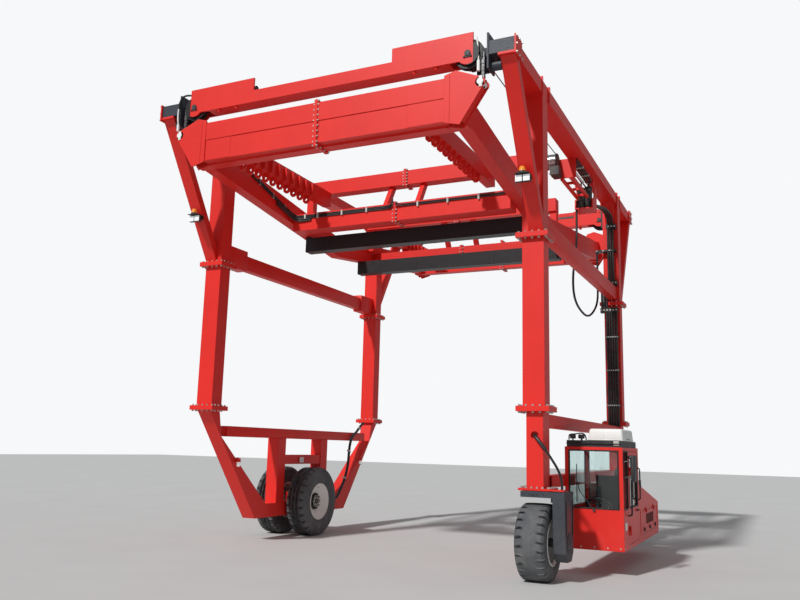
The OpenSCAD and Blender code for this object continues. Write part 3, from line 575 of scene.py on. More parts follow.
rightPlaces = [[(rightWheel["x"], face * rightWheel["y"], rightWheel["z"])] for face in sides]
leftPlaces = [(leftWheels["x"] + side * leftWheels["apart"], leftWheels["y"], leftWheels["z"]) for side in (1, -1)]
for name, body, node, centres, look in (
    ("frontTyre", "front_wheel", "front_tyre", rightPlaces[0], "right"),
    ("rearTyre", "rear_wheel", "rear_tyre", rightPlaces[1], "right"),
    ("leftTyres", "left_wheels", "left_tyres", leftPlaces, "left"),
):
    bm = bmesh.new()
    for centre in centres:
        tyreInto(bm, Vector(centre), tyreLooks[look])
    tyre = finish(name, bm, "tyreRubber", body, 28)
    # a second slot: the near-black rubber that paints the shade in the grooves
    tyre.data.materials.append(bpy.data.materials["grooveRubber"])
    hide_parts(node)
print("tyres cut")


# rims: nuts, hub caps and valve stems
wheelNuts = {"count": 10, "leftRing": 0.126, "rightRing": 0.185, "size": 0.016, "hub": 0.104}
bm, bmNuts = bmesh.new(), bmesh.new()
cap = wheelNuts["hub"]
for side in sides:
    x, y, z = leftWheels["x"] + side * leftWheels["apart"], leftWheels["y"], leftWheels["z"]
    # a dark hub cap turned over the axle end, with a stepped rim
    outline = [(0.002, 0.112), (0.052, 0.112), (0.06, 0.104), (cap - 0.012, 0.1065), (cap, 0.098), (cap, 0.074),
               (cap + 0.044, 0.071), (cap + 0.048, 0.064), (0.002, 0.058)]
    spun(bm, [(out, side * along) for out, along in outline], (x, y, z), 40)
    boltRing(bm, (x + side * 0.104, y, z), 0.076, 8, side, 0.008, 0.012, 0.5)
    boltRing(bmNuts, (x + side * 0.071, y, z), wheelNuts["leftRing"], wheelNuts["count"], side, wheelNuts["size"], 0.03)
    tube(bmNuts, [(x + side * dx, y, z + dz) for dx, dz in ((0.105, 0.262), (0.128, 0.258), (0.15, 0.25))], 0.005)
finish("leftHubCaps", bm, "blackPaint", "left_wheels")
finish("leftWheelNuts", bmNuts, "castIron", "left_wheels")

x, z = rightWheel["x"], rightWheel["z"]
for end, face in (("front", -1), ("rear", 1)):
    y = face * rightWheel["y"]
    bm = bmesh.new()
    for side in sides:
        boltRing(bm, (x + side * 0.01, y, z), wheelNuts["rightRing"], wheelNuts["count"], side, wheelNuts["size"], 0.02)
    spun(bm, [(0.002, 0.098), (0.04, 0.098), (0.056, 0.088), (0.056, 0.084), (0.002, 0.084)], (x, y, z), 24)
    tube(bm, [(x + dx, y, z + dz) for dx, dz in ((0.025, 0.238), (0.065, 0.242), (0.09, 0.236))], 0.005)
    finish(end + "WheelNuts", bm, "boltZinc", end + "_wheel")

# the outboard leg of each yoke: a bolted bearing cover, ribs and a grease point
bearing = {"x": 3.112, "cover": 0.135, "bolts": 8}
cover = bearing["cover"]
for end, face in (("front", -1), ("rear", 1)):
    y = face * rightWheel["y"]
    bm = bmesh.new()
    spun(bm, [(0.002, 0.03), (0.05, 0.03), (0.062, 0.018), (cover - 0.012, 0.014), (cover, 0.004), (cover, 0.0),
              (0.002, 0.0)], (bearing["x"], y, z), 36)
    boltRing(bm, (bearing["x"] + 0.014, y, z), 0.098, bearing["bolts"], 1, 0.01, 0.012)
    for edge in sides:
        turned(bm, (0.012, 0.014, 0.44), at((bearing["x"] + 0.005, y + edge * 0.165, 0.8), -3.5 * edge), 0.003)
    # a weld seam across the leg's front edge, as on the real plate
    block(bm, (2.956, y - 0.2215, 0.772), (bearing["x"], y - 0.208, 0.782), 0.002, 1)
    rod(bm, (2.7, y - 0.236, 1.086), (2.7, y - 0.25, 1.086), 0.01, 10)
    for x in (2.58, 2.66, 2.76, 2.84):
        bolt(bm, (x, y - 0.235, 1.087), (0, -1, 0), 0.008, 0.008)
    finish(end + "YokeTrim", bm, "darkPaint", end + "_yoke")
print("wheels dressed")


# bolts of the frame joints
frameBolts = {"size": 0.015, "height": 0.022, "footSize": 0.013}
size, height, footSize = frameBolts["size"], frameBolts["height"], frameBolts["footSize"]
bm = bmesh.new()
for side in sides:
    for z, under in ((2.21, 2.14), (4.555, 4.485)):
        for y in (2.6225, 2.9475):
            for x in (2.512, 2.606, 2.7, 2.794, 2.888):
                # none where a sleeve or a long beam covers the flange
                if not (side < 0 and z > 4 and y < 2.7 and 2.62 < x < 2.83):
                    bolt(bm, (side * x, y, z), (0, 0, 1), size, height)
                if not (z < 3 and y < 2.7):
                    bolt(bm, (side * x, y, under), (0, 0, -1), size, height)
        for x in (2.512, 2.888):
            for y in (2.7, 2.785, 2.87):
                for level, way in ((z, 1), (under, -1)):
                    bolt(bm, (side * x, y, level), (0, 0, way), size, height)
for y in (2.565, 2.935):
    boltRow(bm, (2.53, y, 1.16), (2.89, y, 1.16), 6, (0, 0, 1), footSize, height)
for x in (2.525, 2.895):
    boltRow(bm, (x, 2.62, 1.16), (x, 2.88, 1.16), 4, (0, 0, 1), footSize, height)
# end plates of the cross tubes, outboard
for side in sides:
    for z in (6.552, 6.664, 6.776):
        for y in (3.977, 4.09, 4.203):
            if (y, z) != (4.09, 6.664):
                bolt(bm, (side * 2.874, y, z), (side, 0, 0), 0.013, 0.018)
mirror(bm, "Y")
finish("frameBolts", bm, "boltZinc")

# bolted splices of the lifting frame: their span in y and z and the way in from the edge
splices = [((3.915, 4.265), (5.695, 6.38), 0.014), ((1.365, 1.715), (5.3, 5.65), 0.012),
           ((1.065, 1.335), (6.045, 6.345), 0.012)]
bm = bmesh.new()
for (yLow, yHigh), (zLow, zHigh), edge in splices:
    across = max(2, round((yHigh - yLow) / 0.085))
    upright = max(3, round((zHigh - zLow) / 0.085))
    for side in sides:
        x = side * 0.022
        for z in (zLow + edge, zHigh - edge):
            boltRow(bm, (x, yLow + edge, z), (x, yHigh - edge, z), across, (side, 0, 0), 0.0115, 0.02)
        for y in (yLow + edge, yHigh - edge):
            boltRow(bm, (x, y, zLow + 0.07), (x, y, zHigh - 0.07), upright, (side, 0, 0), 0.0115, 0.02)
mirror(bm, "Y")
finish("spliceBolts", bm, "boltZinc", "lifting_frame")
print("bolts set")


# seams and doubler plates on the beams
beamPlates = {"thick": 0.006, "seam": 6.068, "low": 5.752, "face": 4.24}
thick, seam, low, face = (beamPlates[key] for key in ("thick", "seam", "low", "face"))
bm = bmesh.new()
for x0, x1 in ((-1.946, -1.462), (1.404, 1.946)):
    block(bm, (x0, -face - thick / 2, low), (x1, -4.236, seam), 0.0015, 1)
for x0, x1 in ((-1.946, -0.024), (0.024, 1.946)):
    block(bm, (x0, -face - 2 * thick, seam), (x1, -4.236, 6.334), 0.002, 1)
    block(bm, (x0, 4.236, low), (x1, face + thick, seam), 0.002, 1)
# weld beads along the end plates, front and rear
for side in sides:
    for end in sides:
        block(bm, (side * 1.998 - 0.004, end * 4.2605, 5.735), (side * 1.998 + 0.004, end * 4.2635, 6.375), 0.0012, 1)
finish("beamPlates", bm, "redPaint", "lifting_frame")

# the long beams of both sides, with their sleeves and the shelf that carries the cab
longBeams = [((2.65, -2.66, 4.59), (2.8, 2.66, 4.84)), ((-2.8, -2.66, 4.59), (-2.65, 2.66, 4.84)),
             ((2.6, -2.595, 1.95), (2.8, 2.595, 2.12)), ((-2.8, -2.4, 1.735), (-2.6, 2.4, 1.905)),
             ((2.62, -2.595, 1.16), (2.85, 2.595, 1.31)),
             ((-2.825, -2.66, 4.555), (-2.625, -2.1, 4.91)), ((-2.825, 2.1, 4.555), (-2.625, 2.66, 4.91))]
bm = bmesh.new()
for low, high in longBeams:
    block(bm, low, high, 0.006, 2)
# weld beads where they meet posts and legs
for x0, x1, z0, z1, y in ((2.645, 2.805, 4.585, 4.845, 2.654), (2.595, 2.805, 1.945, 2.125, 2.589),
                          (2.615, 2.855, 1.155, 1.315, 2.589), (-2.805, -2.645, 4.585, 4.845, 2.094)):
    for end in sides:
        block(bm, (x0, end * y, z0), (x1, end * (y + 0.006), z1), 0.002, 1)
finish("sideBeams", bm, "redPaint", replaced="side_beams")

# ribs, stops and small knobs under the top beams
bm = bmesh.new()
for x in (-1.767, -1.453, 1.453, 1.767):
    for y in (-4.165, 4.165):
        rod(bm, (x, y, 6.563), (x, y, 6.54), 0.02, 12)
        rod(bm, (x, y, 6.545), (x, y, 6.522), 0.03, 12, 0.024)
finish("topBeamTrim", bm, "redPaint")
print("beams trimmed")


# hoist chains: plates and rollers from the sheaves to the lift pins
chainLinks = {"pitch": 0.05, "tall": 0.036, "low": 6.255, "high": 6.655, "x": 2.415, "y": 4.135}
pitch, tall, low, high, pinX, chainY = chainLinks.values()
bm = bmesh.new()
for step in range(int((high - low) / pitch)):
    z = low + (step + 0.5) * pitch
    for face in sides:
        y = chainY + face * (0.0205 + (0.0045 if step % 2 else 0.0))
        block(bm, (pinX - tall / 2, y - 0.002, z - 0.031), (pinX + tall / 2, y + 0.002, z + 0.031))
    rod(bm, (pinX, chainY - 0.03, z - pitch / 2), (pinX, chainY + 0.03, z - pitch / 2), 0.009, 8)
mirror(bm, "XY")
chain = finish("chainLinks", bm, "chainSteel", None)
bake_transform(chain)
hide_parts("hoist_chains")
# the clevis that ties a chain to its pin
bm = bmesh.new()
for face in sides:
    block(bm, (2.38, chainY + face * 0.026, 6.15), (2.45, chainY + face * 0.037, 6.29), 0.004, 1)
mirror(bm, "XY")
finish("chainClevis", bm, "castIron", "lifting_frame")

# links that lie over each sheave
bm = bmesh.new()
hub = Vector((2.22, 4.135, 6.655))
for step in range(7):
    turn = 7 + step * 13.0
    for face in sides:
        inset = 0.0215 + (0.0045 if step % 2 else 0.0)
        turned(bm, (0.034, 0.004, 0.056), at(hub, -turn, "Y") @ Matrix.Translation((0.195, face * inset, 0)))
    pin = hub + Vector((0.195 * cos(radians(turn) - 0.11), 0, 0.195 * sin(radians(turn) - 0.11)))
    rod(bm, pin - Vector((0, 0.03, 0)), pin + Vector((0, 0.03, 0)), 0.009, 8)
# spokes pressed into the sheave discs, and the axle end plates with two bolts
for step in range(6):
    for face in sides:
        shape = at(hub, -30 - step * 60, "Y") @ Matrix.Translation((0.098, face * 0.0235, 0))
        turned(bm, (0.072, 0.006, 0.022), shape, 0.002)
for y, face in ((3.965, -1), (4.215, 1)):
    rod(bm, (hub.x, y - face * 0.002, hub.z), (hub.x, y + face * 0.01, hub.z), 0.044, 20, 0.04)
    block(bm, (2.16, y - 0.005 - face * 0.004, 6.6), (2.28, y + 0.005 - face * 0.004, 6.622), 0.002, 1)
    for x in (2.175, 2.265):
        bolt(bm, (x, y, 6.611), (0, face, 0), 0.009, 0.01)
mirror(bm, "XY")
finish("sheaveLinks", bm, "castIron")

# end plates of the lifting beams, each pair with a boss and its pale pin
endPlate = [(1.92, 5.73), (2.14, 5.675), (2.47, 6.175), (2.455, 6.26), (2.08, 6.42), (1.92, 6.375)]
pinZ = 6.21
bm, bmPin = bmesh.new(), bmesh.new()
for side in sides:
    x = side * pinX
    for face in sides:
        for low, high in ((4.09, 4.11), (4.24, 4.26)):
            ends = prism(bm, [(side * out, up) for out, up in endPlate], face * low, face * high)
            rims = [bm.faces.new(rim) for rim in ends]
            bevel(bm, [edge for rim in rims for edge in rim.edges], 0.003, 2)
            rod(bm, (x, face * low, pinZ), (x, face * high, pinZ), 0.0665, 32)
        # stiffener between the two plates along their lower edge
        lean = -side * degrees(atan2(0.5, 0.33))
        turned(bm, (0.5, 0.128, 0.014), at((side * 2.29, face * 4.175, 5.944), lean, "Y"), 0.002)
        rod(bmPin, (x, face * 4.0755, pinZ), (x, face * 4.2715, pinZ), 0.044, 28)
        rod(bmPin, (x, face * 4.2715, pinZ), (x, face * 4.2748, pinZ), 0.044, 28, 0.04)
        block(bmPin, (x - 0.014, face * 4.26, 6.135), (x + 0.03, face * 4.274, 6.27), 0.003, 2)
finish("liftEndPlates", bm, "redPaint", "lifting_frame", 12, "lift_ends")
finish("liftPins", bmPin, "tagWhite", "lifting_frame")

# black guards round the noses of the cheek plates
guard = {"inner": 0.1515, "outer": 0.16, "from": 2.297}


def arcPoints(reach, angles):
    return [(hub.x + reach * cos(a), hub.z + reach * sin(a)) for a in angles]


bm = bmesh.new()
arc = [radians(a) for a in range(-96, 61, 6)]
half = len(arc)
for low, high in ((3.974, 4.003), (4.177, 4.211)):
    for rim in prism(bm, arcPoints(guard["outer"], arc) + arcPoints(guard["inner"], arc[::-1]), low, high):
        for step in range(half - 1):
            bm.faces.new((rim[step], rim[step + 1], rim[2 * half - 2 - step], rim[2 * half - 1 - step]))
reach = acos((guard["from"] - hub.x) / guard["outer"])
for rim in prism(bm, arcPoints(guard["outer"], [reach * (step / 8 - 1) for step in range(17)]), 4.2055, 4.2125):
    bm.faces.new(rim)
mirror(bm, "XY")
finish("noseGuards", bm, "blackPaint")

# a pale feed line beside each chain, bent over its sheave and clipped to the beam
bm, bmDark = bmesh.new(), bmesh.new()
for face in sides:
    path = smoothLine([(-2.29, face * 4.19, 6.866), (-2.38, face * 4.222, 6.864), (-2.455, face * 4.226, 6.83),
                       (-2.498, face * 4.226, 6.731), (-2.508, face * 4.226, 6.6), (-2.507, face * 4.224, 6.5),
                       (-2.498, face * 4.214, 6.4)], 6)
    tube(bmDark, path[:22], 0.015, 3)
    tube(bm, path[10:], 0.012, 3)
    rod(bm, path[-2], path[-1] - Vector((0, 0, 0.09)), 0.022, 16)
for face in sides:
    path = smoothLine([(2.338, face * 4.19, 6.872), (2.352, face * 4.2, 6.8), (2.36, face * 4.2, 6.7),
                       (2.364, face * 4.196, 6.6), (2.366, face * 4.19, 6.535)], 6)
    tube(bm, path, 0.011, 3)
    rod(bm, path[-1], path[-1] - Vector((0, 0, 0.145)), 0.022, 16)
finish("feedLines", bm, "tagWhite")
finish("feedSleeves", bmDark, "hoseRubber")
print("chains linked")


# front lamps: bracket, two square lamps and an amber beacon on each strut
lampSizes = {"wide": 0.1, "tall": 0.096, "deep": 0.06, "beacon": 0.046, "shelf": 5.215}
half, tall, deep, dome, shelf = lampSizes["wide"] / 2, *list(lampSizes.values())[1:]
strutFoot, strutSlope = 4.555, 0.6212
lampBack = -(2.91 + (shelf + 0.014 - strutFoot) * strutSlope)
front = lampBack - 0.122
bm, bmRim, bmDome = bmesh.new(), bmesh.new(), bmesh.new()
for side in sides:
    middle = side * 2.7175
    for depth, z in ((0.175, shelf), (0.01, 5.16)):
        block(bmRim, (middle - 0.095, lampBack - depth, z), (middle + 0.095, lampBack - 0.002, 5.223), 0.003, 1)
    for x in (middle - 0.053, middle + 0.053):
        low = 5.205 - tall
        block(bmRim, (x - half, front + 0.004, low), (x + half, front + deep, low + tall), 0.008, 3)
        for fin in range(4):
            z = low + 0.012 + fin * 0.019
            block(bmRim, (x - half + 0.012, front + deep, z), (x + half - 0.012, front + deep + 0.014, z + 0.005),
                  0.001, 1)
        rod(bmRim, (x, front + 0.034, low + tall - 0.002), (x, front + 0.034, 5.217), 0.008, 12)
        block(bm, (x - half + 0.004, front - 0.003, low + 0.004), (x + half - 0.004, front + 0.008, low + tall - 0.004),
              0.004, 2)
    spot = Vector((middle, lampBack - 0.128, shelf + 0.008))
    rod(bmRim, spot, spot + Vector((0, 0, 0.02)), 0.05, 28, 0.048)
    spun(bmDome, [(0.0, 0.094), (0.014, 0.093), (0.026, 0.088), (0.035, 0.078), (dome - 0.004, 0.06), (dome, 0.04),
                  (dome, 0.02), (0.0, 0.02)], spot, 32, True)
finish("lampLenses", bm, "lampLens")
finish("lampRims", bmRim, "blackPlastic", replaced="lamps")
finish("beaconDomes", bmDome, "amberLens")

# the small marker lamp that hangs inside each left arm
bm, bmClear = bmesh.new(), bmesh.new()
for face in sides:
    x, y, z = -2.535, face * 2.135, 1.385
    tube(bm, [(-2.574, face * 2.165, 1.372), (-2.556, face * 2.16, 1.386), (-2.54, face * 2.142, 1.388), (x, y, z)],
         0.011, 3)
    rod(bm, (x, y, z), (x, y, z - 0.062), 0.034, 20, 0.036)
    for level, wide in ((0.062, 0.031), (0.086, 0.032), (0.11, 0.03)):
        rod(bmClear, (x, y, z - level), (x, y, z - level - 0.022), wide, 20, wide - 0.003)
    rod(bm, (x, y, z - 0.132), (x, y, z - 0.144), 0.026, 20, 0.018)
finish("markerCaps", bm, "redPaint")
finish("markerLenses", bmClear, "lampLens")
print("lamps lit")


# hoses that lie on the steel, with their clips
runs = {"thin": 0.0105, "wide": 0.0165}
bm, bmClip = bmesh.new(), bmesh.new()
hoseRows(bm, 3, (0, 0, -0.024), runs["thin"], 2, [
    (-1.978, -2.96, 5.975), (-1.978, -2.56, 5.862), (-1.978, -2.2, 5.76), (-1.975, -1.9, 5.672),
    (-1.955, -1.76, 5.62), (-1.9, -1.712, 5.594), (-1.78, -1.703, 5.586), (-1.4, -1.702, 5.586),
    (-0.9, -1.702, 5.586), (-0.4, -1.702, 5.586), (-0.16, -1.706, 5.586), (-0.06, -1.726, 5.6),
    (-0.028, -1.745, 5.64), (-0.03, -1.72, 5.685, 0.5)])
# a thicker pair that stops where the arm meets the low cross beam
hoseRows(bm, 2, (0, 0, -0.034), runs["wide"], 3, [
    (-1.972, -2.24, 5.7), (-1.966, -2.05, 5.652), (-1.958, -1.88, 5.602), (-1.935, -1.78, 5.56),
    (-1.87, -1.722, 5.53), (-1.76, -1.708, 5.522), (-1.62, -1.704, 5.53)])
hoseRows(bm, 2, (0, 0, -0.026), runs["thin"], 2, [
    (0.028, -1.745, 5.612), (0.1, -1.716, 5.592), (0.3, -1.703, 5.586), (0.9, -1.702, 5.586), (1.5, -1.702, 5.586),
    (1.86, -1.704, 5.59), (1.96, -1.752, 5.622), (1.978, -1.9, 5.672), (1.978, -2.3, 5.79)])
for x in (-1.74, -1.486, -1.003, -0.525, 0.42, 0.95, 1.48):
    block(bmClip, (x - 0.016, -1.722, 5.52), (x + 0.016, -1.69, 5.604), 0.004, 2)
    bolt(bmClip, (x, -1.722, 5.6), (0, -1, 0), 0.007, 0.008)
for y, z in ((-2.75, 5.895), (-2.35, 5.782), (-1.98, 5.676)):
    turned(bmClip, (0.022, 0.03, 0.094), at((-1.982, y, z), 15.6), 0.003)
finish("liftHoses", bm, "hoseRubber", "lifting_frame")
finish("liftClips", bmClip, "clipPale", "lifting_frame")

bm, bmClip = bmesh.new(), bmesh.new()
# two lines down the inner face of the far left arm
hoseRows(bm, 2, (0, -0.04, 0), 0.0175, 3, [
    (-2.568, 2.3, 2.12), (-2.568, 2.18, 2.06), (-2.568, 2.0, 1.93), (-2.566, 1.8, 1.8), (-2.562, 1.7, 1.6),
    (-2.56, 1.658, 1.278), (-2.56, 1.573, 1.034), (-2.562, 1.44, 0.83), (-2.566, 1.301, 0.656), (-2.568, 1.2, 0.59),
    (-2.568, 1.04, 0.56)])
for y, z in ((2.08, 2.005), (1.66, 1.52), (1.5, 0.985)):
    turned(bmClip, (0.044, 0.11, 0.026), at((-2.562, y, z), -18), 0.003)
# from the top of the post bundle forward to the units
hoseRows(bm, 3, (0.045, 0, 0), 0.0195, 3, [
    (2.67, 2.559, 6.115), (2.67, 2.55, 6.19), (2.666, 2.49, 6.262), (2.658, 2.33, 6.3), (2.64, 2.05, 6.3),
    (2.61, 1.75, 6.262), (2.575, 1.45, 6.205), (2.56, 1.31, 6.18), (2.555, 1.225, 6.172)])
# the lines that run along the underside of the right rail, past its winch
for x in (2.59, 2.625, 2.665, 2.7):
    hoseRows(bm, 1, (0, 0, 0), 0.0125, 2, [
        (x, 0.965, 6.5), (x, 0.8, 6.528), (x, 0.4, 6.538), (x, 0.0, 6.538), (x, -0.2, 6.535)])
for y in (0.22, 0.66):
    block(bmClip, (2.568, y - 0.016, 6.52), (2.722, y + 0.016, 6.5555), 0.003, 1)
# clamp bolts on the post: span in x, place in y and z, count, size and height
for x0, x1, y, z, count, size, height in (
    (2.607, 2.812, 2.533, 2.52, 6, 0.01, 0.012), (2.607, 2.812, 2.533, 3.195, 6, 0.01, 0.012),
    (2.607, 2.812, 2.533, 3.845, 6, 0.01, 0.012), (2.515, 2.805, 2.533, 4.38, 6, 0.012, 0.016),
    (2.515, 2.805, 2.533, 4.925, 6, 0.012, 0.016), (2.69, 2.8, 2.533, 6.075, 3, 0.012, 0.016),
    (2.45, 2.7, 2.529, 5.58, 3, 0.011, 0.014),
):
    boltRow(bmClip, (x0, y, z), (x1, y, z), count, (0, -1, 0), size, height)
finish("frameHoses", bm, "hoseRubber")
finish("frameClips", bmClip, "clipPale")
print("hoses clipped")


# units under the right rail: caps, ports, bright fittings and the wire to the front sheave
bm, bmBright = bmesh.new(), bmesh.new()
for x in (2.49, 2.625):
    y = 1.03
    for z, wide in ((6.03, 0.07), (6.105, 0.069), (6.3, 0.069), (6.405, 0.07)):
        rod(bm, (x, y, z), (x, y, z + 0.018), wide, 28)
    rod(bmBright, (x, y, 6.423), (x, y, 6.45), 0.04, 20, 0.03)
    rod(bmBright, (x, y, 6.45), (x, y, 6.52), 0.018, 16)
    rod(bmBright, (x, y - 0.066, 6.2), (x, y - 0.092, 6.2), 0.016, 12)
    rod(bmBright, (x + 0.03, y - 0.06, 6.36), (x + 0.03, y - 0.084, 6.36), 0.012, 10)
    tube(bm, smoothLine([(x, y - 0.085, 6.2), (x, y - 0.125, 6.21), (x - 0.005, y - 0.135, 6.27),
                         (x + 0.01, y - 0.1, 6.36), (x + 0.02, y - 0.07, 6.47), (x + 0.03, y - 0.06, 6.548)]), 0.012)
for x in (2.46, 2.515, 2.57, 2.625):
    rod(bmBright, (x, 1.17, 6.225), (x, 1.17, 6.25), 0.013, 6)
    rod(bm, (x, 1.17, 6.25), (x, 1.17, 6.262), 0.01, 10)
# the winch: drum flanges, motor bolts, wire turns and the brake housing
winch = {"y": -0.36, "z": 6.485, "flange": 0.134, "wire": 0.123, "turns": 9}
y, z = winch["y"], winch["z"]
for x in (2.105, 2.235, 2.4):
    rod(bm, (x, y, z), (x + 0.016, y, z), winch["flange"], 36)
boltRing(bmBright, (2.1, y, z), 0.104, 8, -1, 0.01, 0.014)
for turn in range(winch["turns"]):
    angles = [radians(a) for a in range(0, 361, 12)]
    tube(bmBright, [(2.262 + turn * 0.0155, y + winch["wire"] * cos(a), z + winch["wire"] * sin(a)) for a in angles],
         0.0065, 1)
for z in (6.25, 6.335):
    for y in (-0.44, -0.3):
        rod(bmBright, (2.3, y, z), (2.283, y, z), 0.014, 10)
finish("unitFittings", bm, "blackPlastic")
finish("unitBright", bmBright, "brightRod")
# the ladder that ties the winch's plate to the hanging tray, with its two rods
bm = bmesh.new()
for x in (2.415, 2.6):
    block(bm, (x, -0.222, 6.19), (x + 0.05, 0.935, 6.245), 0.004, 1)
for y in (0.06, 0.42, 0.78):
    block(bm, (2.44, y - 0.02, 6.196), (2.625, y + 0.02, 6.238), 0.003, 1)
finish("unitLadder", bm, "redPaint")
bm = bmesh.new()
for x in (2.455, 2.59):
    for start, end, wide, sections in ((-0.222, 0.66, 0.026, 20), (0.66, 0.7, 0.031, 20), (0.7, 0.966, 0.015, 16)):
        rod(bm, (x, start, 6.42), (x, end, 6.42), wide, sections)
finish("unitRods", bm, "brightRod")
bm = bmesh.new()
for side in sides:
    tube(bm, [(side * x, y, z) for x, y, z in ((2.47, -3.93, 6.5), (2.455, -3.3, 6.5145), (2.43, -1.8, 6.53),
                                               (2.405, -0.55, 6.575), (2.4, -0.4, 6.606))], 0.0075)
    rod(bm, (side * 2.47, -3.952, 6.5), (side * 2.47, -3.92, 6.5), 0.02, 16, 0.012)
finish("guideWires", bm, "hoseRubber")
print("units fitted")


# cab: gaskets, wiper, handles, roof and air unit trim
cabSizes = {"seal": 0.02, "deck": 1.748}


def sealFrame(bm, low, high, flat):
    # four rubber strips round an opening; flat is the axis along its width
    wide = cabSizes["seal"]
    for axis in (2, flat):
        for start in (low[axis], high[axis] - wide):
            a, b = Vector(low), Vector(high)
            if axis != 2:
                a.z, b.z = low[2] + wide, high[2] - wide
            a[axis], b[axis] = start, start + wide
            block(bm, a, b, 0.004, 1)


openings = [((2.9, -1.896, 0.87), (3.59, -1.868, 1.666), 0), ((2.9, -0.642, 0.87), (3.59, -0.612, 1.666), 0),
            ((3.612, -1.84, 0.87), (3.646, -1.52, 1.666), 1), ((2.844, -1.84, 0.87), (2.874, -0.67, 1.666), 1)]
bm = bmesh.new()
for low, high, flat in openings:
    sealFrame(bm, low, high, flat)
finish("cabSeals", bm, "sealRubber")
bm = bmesh.new()
sealFrame(bm, (3.606, -1.415, 0.872), (3.646, -0.745, 1.6), 1)
finish("doorSeal", bm, "sealRubber", "cab_door")

bm = bmesh.new()
rod(bm, (3.245, -1.893, 0.858), (3.245, -1.915, 0.858), 0.018, 16)
tube(bm, [(3.245, -1.912, 0.86), (3.17, -1.916, 0.96), (3.06, -1.914, 1.1), (3.02, -1.91, 1.24)], 0.006)
block(bm, (3.012, -1.91, 0.96), (3.022, -1.896, 1.47), 0.002, 1)
# hose and cable stubs on the roof, and two small working lamps
for x, turn in ((2.955, 12), (3.075, -8)):
    body = at((x, -1.835, 1.845), turn, "Z")
    turned(bm, (0.082, 0.05, 0.06), body, 0.008)
    turned(bm, (0.02, 0.03, 0.03), body @ Matrix.Translation((0, 0.006, -0.038)), 0.003)
tube(bm, smoothLine([(2.9, -1.835, 1.8), (2.91, -1.84, 1.868), (2.99, -1.842, 1.88), (3.08, -1.838, 1.89),
                     (3.12, -1.8, 1.862), (3.13, -1.78, 1.8)], 6), 0.009)
# drip rail and bolts along the dark roof deck
block(bm, (2.868, -1.902, cabSizes["deck"]), (3.632, -1.874, cabSizes["deck"] + 0.01), 0.003, 1)
for x in (2.9, 3.05, 3.2, 3.35, 3.5, 3.6):
    bolt(bm, (x, -1.876, 1.772), (0, -1, 0), 0.008, 0.008)
finish("wiper", bm, "blackPlastic")
bm = bmesh.new()
block(bm, (3.52, -1.884, 1.728), (3.6, -1.872, 1.79), 0.004, 2)
finish("roofPlate", bm, "clipPale")

# air unit: rounded shell, side grille and lid seam
airUnit = {"low": (3.158, -1.828, 1.798), "high": (3.64, -0.972, 1.958), "slats": 9}
low, high = Vector(airUnit["low"]), Vector(airUnit["high"])
bm = bmesh.new()
block(bm, low, high)
for vert in bm.verts:
    if vert.co.z > 1.9:
        vert.co.x += 0.024 if vert.co.x < 3.4 else -0.012
        vert.co.y += 0.012 if vert.co.y < -1.4 else -0.03
bevel(bm, bm.edges[:], 0.03, 4)
block(bm, (low.x - 0.004, low.y - 0.004, 1.796), (high.x, high.y + 0.004, 1.812), 0.003, 1)
finish("airShell", bm, "whitePaint", sharp=50, replaced="air_unit")
bm = bmesh.new()
for step in range(airUnit["slats"]):
    z, lean = 1.822 + step * 0.0125, 0.0018 * step
    turned(bm, (0.01, 0.3, 0.008), at((3.634 - lean, -1.4, z), 28, "Y"), 0.0015)
    turned(bm, (0.26, 0.01, 0.008), at((3.4, -0.977 - lean, z), 28), 0.0015)
finish("airGrille", bm, "greyPlastic")

# door: handle bar, lock, rubber edge; and the grab bar beside it
bm = bmesh.new()
rod(bm, (3.64, -0.78, 0.82), (3.668, -0.78, 0.82), 0.014, 16)
block(bm, (3.656, -0.9, 0.808), (3.668, -0.765, 0.832), 0.004)
tube(bm, smoothLine([(x, -0.715, z) for x, z in ((3.64, 0.96), (3.668, 0.975), (3.674, 1.02), (3.674, 1.36),
                                                 (3.668, 1.405), (3.64, 1.42))], 4), 0.01, 3)
finish("doorHandle", bm, "blackPlastic", "cab_door")
bm = bmesh.new()
tube(bm, smoothLine([(x, -1.535, z) for x, z in ((3.64, 0.78), (3.682, 0.8), (3.69, 0.86), (3.69, 1.5),
                                                 (3.682, 1.56), (3.64, 1.58))]), 0.0115, 3)
finish("grabBar", bm, "blackPaint")

# mirror: rounded case, arm joints and the glass on its rear side
bm = bmesh.new()
block(bm, (3.748, -1.872, 1.248), (3.79, -1.668, 1.602), 0.016, 4)
for levels, wide in (((1.5125, 1.52, 1.515, 1.5), 0.011), ((1.3, 1.31, 1.315, 1.32), 0.009)):
    arm = zip((3.64, 3.69, 3.74, 3.77), (-1.857, -1.86, -1.858, -1.85), levels)
    tube(bm, smoothLine(arm, 4), wide, 3)
finish("mirrorCase", bm, "blackPlastic", replaced="mirrors")
bm = bmesh.new()
block(bm, (3.7445, -1.855, 1.268), (3.7495, -1.686, 1.582), 0.002, 1)
finish("mirrorGlass", bm, "mirrorFace")
print("cab dressed")


